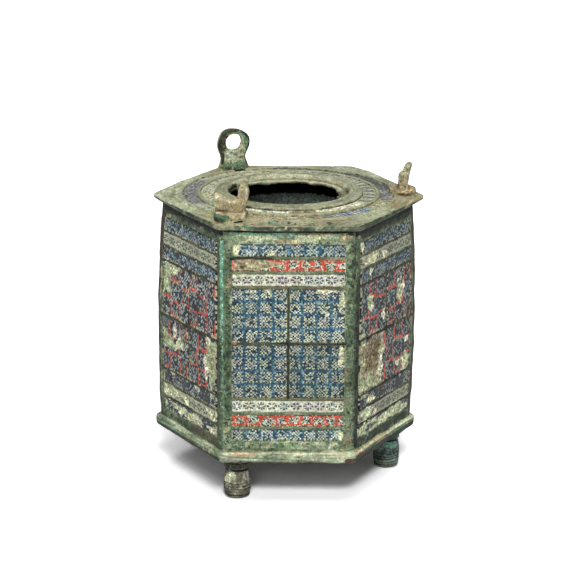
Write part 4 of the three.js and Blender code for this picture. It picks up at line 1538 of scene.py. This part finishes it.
# %% Two rings of glass
OUTER_LOSSES = [
    (0, 360, 0.42, 0.4), (15, 100, 0.32, 0.4), (100, 150, 0.52, 0.35), (205, 240, 0.5, 0.45),
    (240, 288, 0.66, 0.3), (288, 326, 0.1, 0.45), (325, 345, 0.6, 0.35),
]
INNER_LOSSES = [
    (0, 360, 0.5, 0.52), (90, 215, 0.5, 0.34), (215, 258, 0.6, 0.85), (258, 272, 0.7, 0.95),
    (272, 290, 0.7, 0.24), (290, 332, 0.6, 0.78), (332, 25, 0.3, 0.6),
]
glass_ring(
    360, 8, 23.4, 27.0, 73.65, ring_checks, worn_enamel, np.random.default_rng(71), OUTER_LOSSES,
    "outer_glass_ring", "outer_ring_enamel",
)
glass_ring(
    720, 14, 19.0, 22.4, 73.9, ring_flowers, dull_enamel, np.random.default_rng(72), INNER_LOSSES,
    "inner_glass_ring", "inner_ring_enamel",
)
print("squares in the rings", 360 * 8 + 720 * 14)

# %% [markdown]
# ## Lugs
# Three cast loops once held the chains: the rear one is whole, the front one has lost an arm, and of the
# right one a bent stump is left. A loop is a flat plate on a round skirt. It could be carved from a block,
# but its outline says most about it, so that is drawn point by point on a circle and extruded for the
# thickness, and a voxel remesh joins it to the skirt in one casting.

# %% Casting a lug
LUG_GRAIN, LUG_ROUND = 0.22, 0.55


def cast_lug(outline, hole, thick, skirt, rise):
    """A lug that stands at the origin, with a skirt that reaches down to the rim. It is thick in Y."""
    upright = (math.pi / 2, 0, 0)
    bpy.ops.object.select_all(action="DESELECT")
    bpy.ops.mesh.primitive_circle_add(vertices=len(outline), radius=MM, fill_type="NGON", rotation=upright)
    loop = bpy.context.object
    bpy.ops.object.transform_apply()
    move_points(loop, np.array([(x, -thick / 2, z) for x, z in outline]))
    edit(loop)
    bpy.ops.mesh.extrude_region_move(TRANSFORM_OT_translate={"value": (0, thick * MM, 0)})
    close_up(loop)
    select(loop, "edges", lambda p, e: abs(e[0].y - e[1].y) < 0.01)
    bpy.ops.mesh.bevel(offset=LUG_ROUND * MM, segments=3, affect="EDGES")
    alone(loop)
    low, high, height, squash = skirt
    bpy.ops.mesh.primitive_cone_add(
        vertices=40, radius1=low * MM, radius2=high * MM, depth=(height + rise) * MM,
        location=(0, 0, (height - rise) / 2 * MM),
    )
    pad = bpy.context.object
    pad.scale = (1, squash, 1)
    alone(loop)
    pad.select_set(True)
    bpy.ops.object.join()
    finish_with(loop, "REMESH", mode="VOXEL", voxel_size=LUG_GRAIN * MM)
    if hole:
        x, z, radius = hole
        bpy.ops.mesh.primitive_cylinder_add(
            vertices=40, radius=radius * MM, depth=8 * MM, location=(x * MM, 0, z * MM), rotation=upright,
        )
        drill = bpy.context.object
        finish_with(loop, "BOOLEAN", object=drill, operation="DIFFERENCE", solver="EXACT")
        bpy.data.objects.remove(drill)
        finish_with(loop, "REMESH", mode="VOXEL", voxel_size=LUG_GRAIN * MM)
    return loop


print("lugs are cast with grains of", LUG_GRAIN, "mm")

# %% Shapes of the lugs
LOOP = [
    (-3.7, 0.6), (-3.6, 1.8), (-3.45, 3.2), (-3.6, 4.2), (-4.0, 5.2), (-4.35, 6.6), (-4.3, 8.0),
    (-3.95, 9.3), (-3.25, 10.4), (-2.3, 11.05), (-1.1, 11.35), (0.3, 11.25), (1.4, 11.15), (2.5, 10.75),
    (3.6, 9.9), (4.3, 8.8), (4.4, 7.8), (4.2, 6.6), (3.7, 5.5), (3.25, 4.4), (3.15, 3.4), (3.5, 1.8),
    (3.6, 0.6),
]
ONE_ARM = [
    (-3.5, 0.6), (-3.65, 1.8), (-3.95, 3.1), (-4.15, 4.7), (-4.15, 5.85), (-3.6, 6.35), (-3.0, 6.05),
    (-2.3, 5.75), (-1.6, 5.3), (-0.9, 4.9), (0.0, 4.6), (0.9, 4.7), (1.6, 5.3), (1.95, 6.3), (2.0, 7.4),
    (2.2, 8.4), (2.6, 9.25), (3.1, 9.6), (3.75, 9.25), (4.35, 8.2), (4.65, 7.0), (4.55, 5.7), (4.2, 4.4),
    (3.85, 3.15), (3.7, 1.8), (3.6, 0.6),
]
STUMP = [
    (-3.0, 0.5), (-2.8, 2.4), (-3.3, 4.2), (-3.5, 5.6), (-3.2, 6.8), (-2.6, 7.5), (-1.9, 7.6),
    (-1.4, 6.9), (-1.2, 5.6), (-0.7, 4.9), (0.2, 4.6), (1.0, 4.9), (1.5, 5.9), (2.2, 6.5), (2.9, 6.2),
    (3.3, 5.0), (3.3, 3.8), (2.8, 2.4), (3.0, 0.5),
]
# A lug is its place, how it faces in degrees, its rise over the rim, its outline, hole and thickness, its
# skirt (radius below and above, height and squash), its bend, taper and twist, and its bronze.
LUGS = {
    "rear_lug": (
        (-14.6, 26.1), 18, 0.3, LOOP, (0.0, 7.75, 2.3), 2.4, (4.6, 3.3, 3.5, 0.72), 0.0, 0.0, 0.0, lug_bronze,
    ),
    "front_lug": (
        (-14.5, -24.2), -6, 0.45, ONE_ARM, None, 2.7, (4.4, 4.2, 1.9, 0.92), 0.0, 0.0, 0.0, tan_lug_bronze,
    ),
    "right_lug": (
        (29.3, 1.6), -90, 0.5, STUMP, None, 2.8, (3.6, 3.4, 1.5, 1.0), 0.022, 0.08, 0.065, lug_bronze,
    ),
}
print("lugs", list(LUGS))

# %% Stains and painted light of the lugs
# The strokes are in each lug's own place: X runs along its plate, and the rear and front ones face -Y.
LUG_STAINS_AND_LIGHT = {
    "rear_lug": {
        "moss": [
            ((-3.8, -1, 5), (-3, -1, 10), 1.4, 0.22), ((-2.6, -1, 10.8), (2.6, -1, 10.8), 1.3, 0.3),
            ((3.4, -1, 10), (3.8, -1, 6), 1.5, 0.3), ((-3.5, -2.5, 1.6), (3.5, -2.5, 1.6), 1.9, 0.28),
        ],
        "verdigris": [
            ((1.2, -1, 10.6), (2.4, -1, 9.6), 0.8, 0.24),
            ((-3.4, -2.5, 2.4), (3.4, -2.5, 2.4), 1.2, 0.17),
        ],
        "pale": [((-1.6, -1.3, 4.4), (3.0, -1.3, 5.6), 1.8, 0.3)],
        "chalk_and_light": [((-1.6, -1.3, 4.4), (2.6, -1.3, 5.2), 1.3, 0.12)],
        # The cream on the lower right inside the hole is a painted highlight.
        "cream": [((1.4, 0, 5.9), (2.2, 0, 7.6), 0.9, 0.3)],
        "brown": [
            ((-1.6, -1.3, 4.0), (3, -1.3, 5.6), 1.6, 0.14),
            ((-3.6, -2.8, 0.9), (3.6, -2.8, 0.9), 0.8, 0.2),
        ],
        "dark": [
            ((-4.2, -1.1, 4.6), (-4.2, -1.1, 7), 1.0, 0.4),
            ((-4.2, -1.1, 7), (-2.8, -1.1, 10.6), 0.9, 0.4),
            ((-2.8, -1.1, 10.9), (1, -1.1, 11.2), 0.8, 0.4),
            ((2.2, -1.1, 10.9), (4.3, -1.1, 8.6), 0.7, 0.4),
            ((4.3, -1.1, 8.6), (3.6, -1.1, 5), 0.6, 0.36),
            ((-3.4, -2.6, 1.0), (3.4, -2.6, 1.0), 0.9, 0.2), ((3.2, -1, 4.6), (3.4, -1, 2.4), 0.7, 0.36),
            ((-3.3, -1, 4.6), (-3.5, -1, 2.4), 0.7, 0.36),
        ],
        # The umber inside the hole at the left is painted shade.
        "umber": [
            ((-3.2, -1.1, 5.4), (-3.0, -1.1, 9.4), 0.7, 0.3), ((-2.3, 0, 6), (-2.2, 0, 9), 0.8, 0.34),
        ],
        # The black inside the hole at the upper left and at the top is painted shadow.
        "soot_and_shadow": [
            ((-2.6, -0.8, 6.4), (-2.0, -0.8, 9.4), 0.7, 0.4), ((-2, 0, 10), (1, 0, 10), 0.6, 0.3),
            ((-4.8, -3.2, 0.1), (4.8, -3.2, 0.1), 0.9, 0.44),
            ((-4.5, -0.8, 5), (-4.4, -0.8, 8.6), 0.6, 0.4),
        ],
    },
    "front_lug": {
        "chalk_and_light": [((-3.2, -1.3, 4.4), (-1.4, -1.3, 3.4), 1.3, 0.12)],
        "verdigris": [((-3.6, -1.3, 5.4), (-3.4, -1.3, 3.4), 0.9, 0.14)],
        "brown": [((3.2, -1, 5), (2.8, -1, 8), 1.2, 0.16)],
        "pale": [
            ((4.3, -1.2, 5), (4.0, -1.2, 8.2), 0.4, 0.26), ((-4, -1.2, 3), (-4.1, -1.2, 6), 0.6, 0.28),
            ((-3.6, -1.2, 6), (0, -1.2, 4.6), 0.6, 0.26),
        ],
        "moss": [((-0.6, -3.6, 0.6), (-4.2, -2, 0.8), 1.3, 0.36)],
        "dark": [
            ((-1.2, -3.8, 0.1), (-4.4, -2, 0.3), 0.8, 0.3),
            ((-4.3, -0.6, 3.4), (-4.2, -0.6, 5.6), 0.5, 0.4),
            ((2.0, -0.8, 6), (2.4, -0.8, 8.6), 0.5, 0.34), ((0.4, -3.8, 0.4), (3, -3.2, 0.6), 0.4, 0.24),
        ],
        "umber": [
            ((-3.8, -1.6, 2.2), (-0.5, -1.6, 2.3), 0.4, 0.34), ((1, -3.8, 0.2), (3, -3.4, 0.2), 0.5, 0.2),
        ],
        "rust": [
            ((3, -1.8, 2.2), (-3.4, -1.8, 2.3), 0.6, 0.22), ((-1, -1.4, 3.4), (2, -1.4, 3.2), 1.4, 0.05),
        ],
        # The cream line along the top of the skirt is a painted highlight.
        "cream": [
            ((4.0, -2.2, 1.9), (3.4, -3, 0.9), 0.7, 0.4),
            ((2.6, -2.6, 2.0), (-3.4, -2.6, 2.0), 0.5, 0.28),
            ((-4.2, -2.2, 1.6), (-3.4, -3, 1.0), 0.4, 0.3),
        ],
        # The black under the skirt at the right is painted shadow.
        "soot_and_shadow": [((4.6, -2.4, 0.0), (1.6, -3.9, -0.3), 0.5, 0.5)],
    },
    "right_lug": {
        "tan": [((-4, 0, 0.9), (4, 0, 0.9), 4.2, 0.3)],
        "rust": [((2, -3, 1.4), (3, 2, 1.4), 1.2, 0.12), ((3.4, -1, 0.2), (3.4, 2, 0.2), 0.8, 0.14)],
        "brown": [((3.4, -2, 0.2), (3.4, 2.4, 0.2), 0.9, 0.34), ((-2.6, 0, 2), (2.6, 0, 2), 0.7, 0.2)],
        # The first pale stroke, along the right edge of the stump, is a painted highlight.
        "pale": [
            ((2.6, 0.8, 2.2), (2.2, 1.0, 6), 0.6, 0.32), ((-2.2, 0.4, 5.6), (-2.2, 0.6, 7), 0.7, 0.3),
            ((3.2, -2.4, 1.5), (3.2, 1.6, 1.5), 0.4, 0.3),
        ],
        # The cream along the right edge of the stump is a painted highlight.
        "cream": [((2.8, 1.2, 3.0), (2.4, 1.2, 5.4), 0.4, 0.3)],
        # The first dark stroke, on the right face of the stump, is painted shadow.
        "dark": [
            ((1, 1.4, 2), (0, 1.5, 7), 0.5, 0.36), ((2.6, -1.3, 2), (2, -1.2, 6), 0.5, 0.3),
            ((-2.2, 0, 7.5), (-1.8, 0.4, 7.6), 0.5, 0.34),
        ],
        "moss": [((3, -1.0, 2.4), (2, -0.8, 6), 0.7, 0.26), ((-2.6, -1, 6), (-2.6, -1, 7.4), 0.6, 0.24)],
        "umber": [((3.6, -2.6, 0.6), (3.8, 2.6, 0.6), 0.5, 0.36)],
    },
}
print("stained lugs", list(LUG_STAINS_AND_LIGHT))

# %% Three lugs
# Each lug is cast and stained upright at the origin. Its plate thins upwards and is bent and twisted there,
# and then it is turned to its place.
for name, (place, facing, rise, outline, hole, thick, skirt, bend, taper, twist, bronze) in LUGS.items():
    lug = cast_lug(outline, hole, thick, skirt, rise)
    paint_all(lug, LUG_STAINS_AND_LIGHT[name])
    points = points_of(lug)
    points[:, 1] *= 1 - taper * np.maximum(points[:, 2] - 2, 0)
    high = np.maximum(points[:, 2] - 1.5, 0)
    points[:, 1] += bend * high ** 2 - twist * points[:, 0] * high
    move_points(lug, points)
    lug.rotation_euler.z = math.radians(facing)
    lug.location = (place[0] * MM, place[1] * MM, (RIM + rise) * MM)
    alone(lug)
    bpy.ops.object.transform_apply()
    weather(lug, 0.4, 0.2, 2)
    settle(lug, name + "_casting", name, bronze)
print("lugs cast", len(LUGS))

# %% [markdown]
# ## Feet
# The feet are small turned barrels with a deep groove under a collar, and fine rings cut round the lower
# half. A few rings of points would do for the barrel, but the cut rings need many, so a formula gives the
# radius at each height. One foot is turned and copied twice.

# %% One foot
FOOT_CIRCLE, FOOT_TOP, FOOT_STEPS = 26.16, 11.06, 62
GROOVES_CUT, GROOVE_DEPTH = (0.95, 1.75, 2.55, 3.35, 4.15), 0.12


def foot_radius(z):
    """The radius of a foot at a height, both in millimetres."""
    if z > 9.3:
        return 3.1
    if z > 7.9:
        return 3.4
    if z > 7.2:
        return 2.9
    ring = GROOVE_DEPTH if z < 4.4 and z % 0.8 < 0.3 else 0.0
    return 2.86 + 0.66 * math.sin(math.pi * (z + 1.2) / 9.4) - ring - 0.5 * max(0, 1 - z / 0.6) ** 2


heights = [k * FOOT_TOP / FOOT_STEPS for k in range(FOOT_STEPS + 1)]
turned_foot = turned([(foot_radius(z), z) for z in heights], 56, False)
height = points_of(turned_foot)[:, 2]
# The collar and the top of the foot are painted dark and the groove under the collar black, as the shade
# under the base, and the cut rings are painted dark.
coat_on(turned_foot, "soot_and_shadow", 0.34 * (np.abs(height - 7.55) < 0.3) + 0.2 * (height > 10.2))
coat_on(turned_foot, "dark", 0.22 * (height > 7.2))
for groove in GROOVES_CUT:
    coat_on(turned_foot, "dark", 0.3 * (np.abs(height - groove) < 0.14))
print("foot faces", len(turned_foot.data.polygons))

# %% Three feet
FOOT_SHIFTS = {"front": 0.4, "right": 0.1, "back": 0.0}
FRONT_FOOT_STAINS = {
    "pale": [
        ((-2.4, -2.3, 5.0), (-1.4, -3.0, 6.4), 1.6, 0.3), ((-1, -3.2, 3.6), (-0.6, -3.2, 4.2), 0.9, 0.24),
    ],
    "chalk_and_light": [
        ((2.6, -2.1, 4.6), (2.4, -2.3, 6.6), 1.4, 0.22),
        ((-2.6, -2.2, 3.4), (-2.2, -2.4, 3.8), 0.8, 0.22),
    ],
    "cream": [
        ((-2.2, -2.5, 5.2), (-1.8, -2.8, 6.0), 0.7, 0.24),
        ((-1.8, -2.8, 2.7), (1.8, -2.8, 2.6), 0.4, 0.22),
    ],
    "umber": [((0.4, -3.3, 5), (1.2, -3.3, 6.4), 0.9, 0.2)],
}
DARK_FOOT_STAINS = {
    "verdigris": [
        ((0, -2.8, 6.6), (2, -2.4, 6.4), 1.4, 0.26), ((-2, -2.8, 3.8), (2.4, -2.4, 3.8), 0.7, 0.18),
    ],
    "brown": [((0, -3, 0.4), (0, 3, 0.4), 3.4, 0.24)],
}
for number, side in enumerate(("right", "back", "front")):
    foot = copy_of(turned_foot)
    paint_all(foot, FRONT_FOOT_STAINS if side == "front" else DARK_FOOT_STAINS)
    turn = number * 2 * math.pi / 3
    x, y = FOOT_CIRCLE * math.cos(turn) + FOOT_SHIFTS[side], FOOT_CIRCLE * math.sin(turn)
    foot.location = (x * MM, y * MM, 0)
    bpy.ops.object.transform_apply()
    weather(foot, 0.3, 0.1, 1)
    bronze = foot_bronze if side == "front" else dark_foot_bronze
    settle(foot, side + "_turned_foot", side + "_foot", bronze)
bpy.data.objects.remove(turned_foot)
print("feet", list(FOOT_SHIFTS))
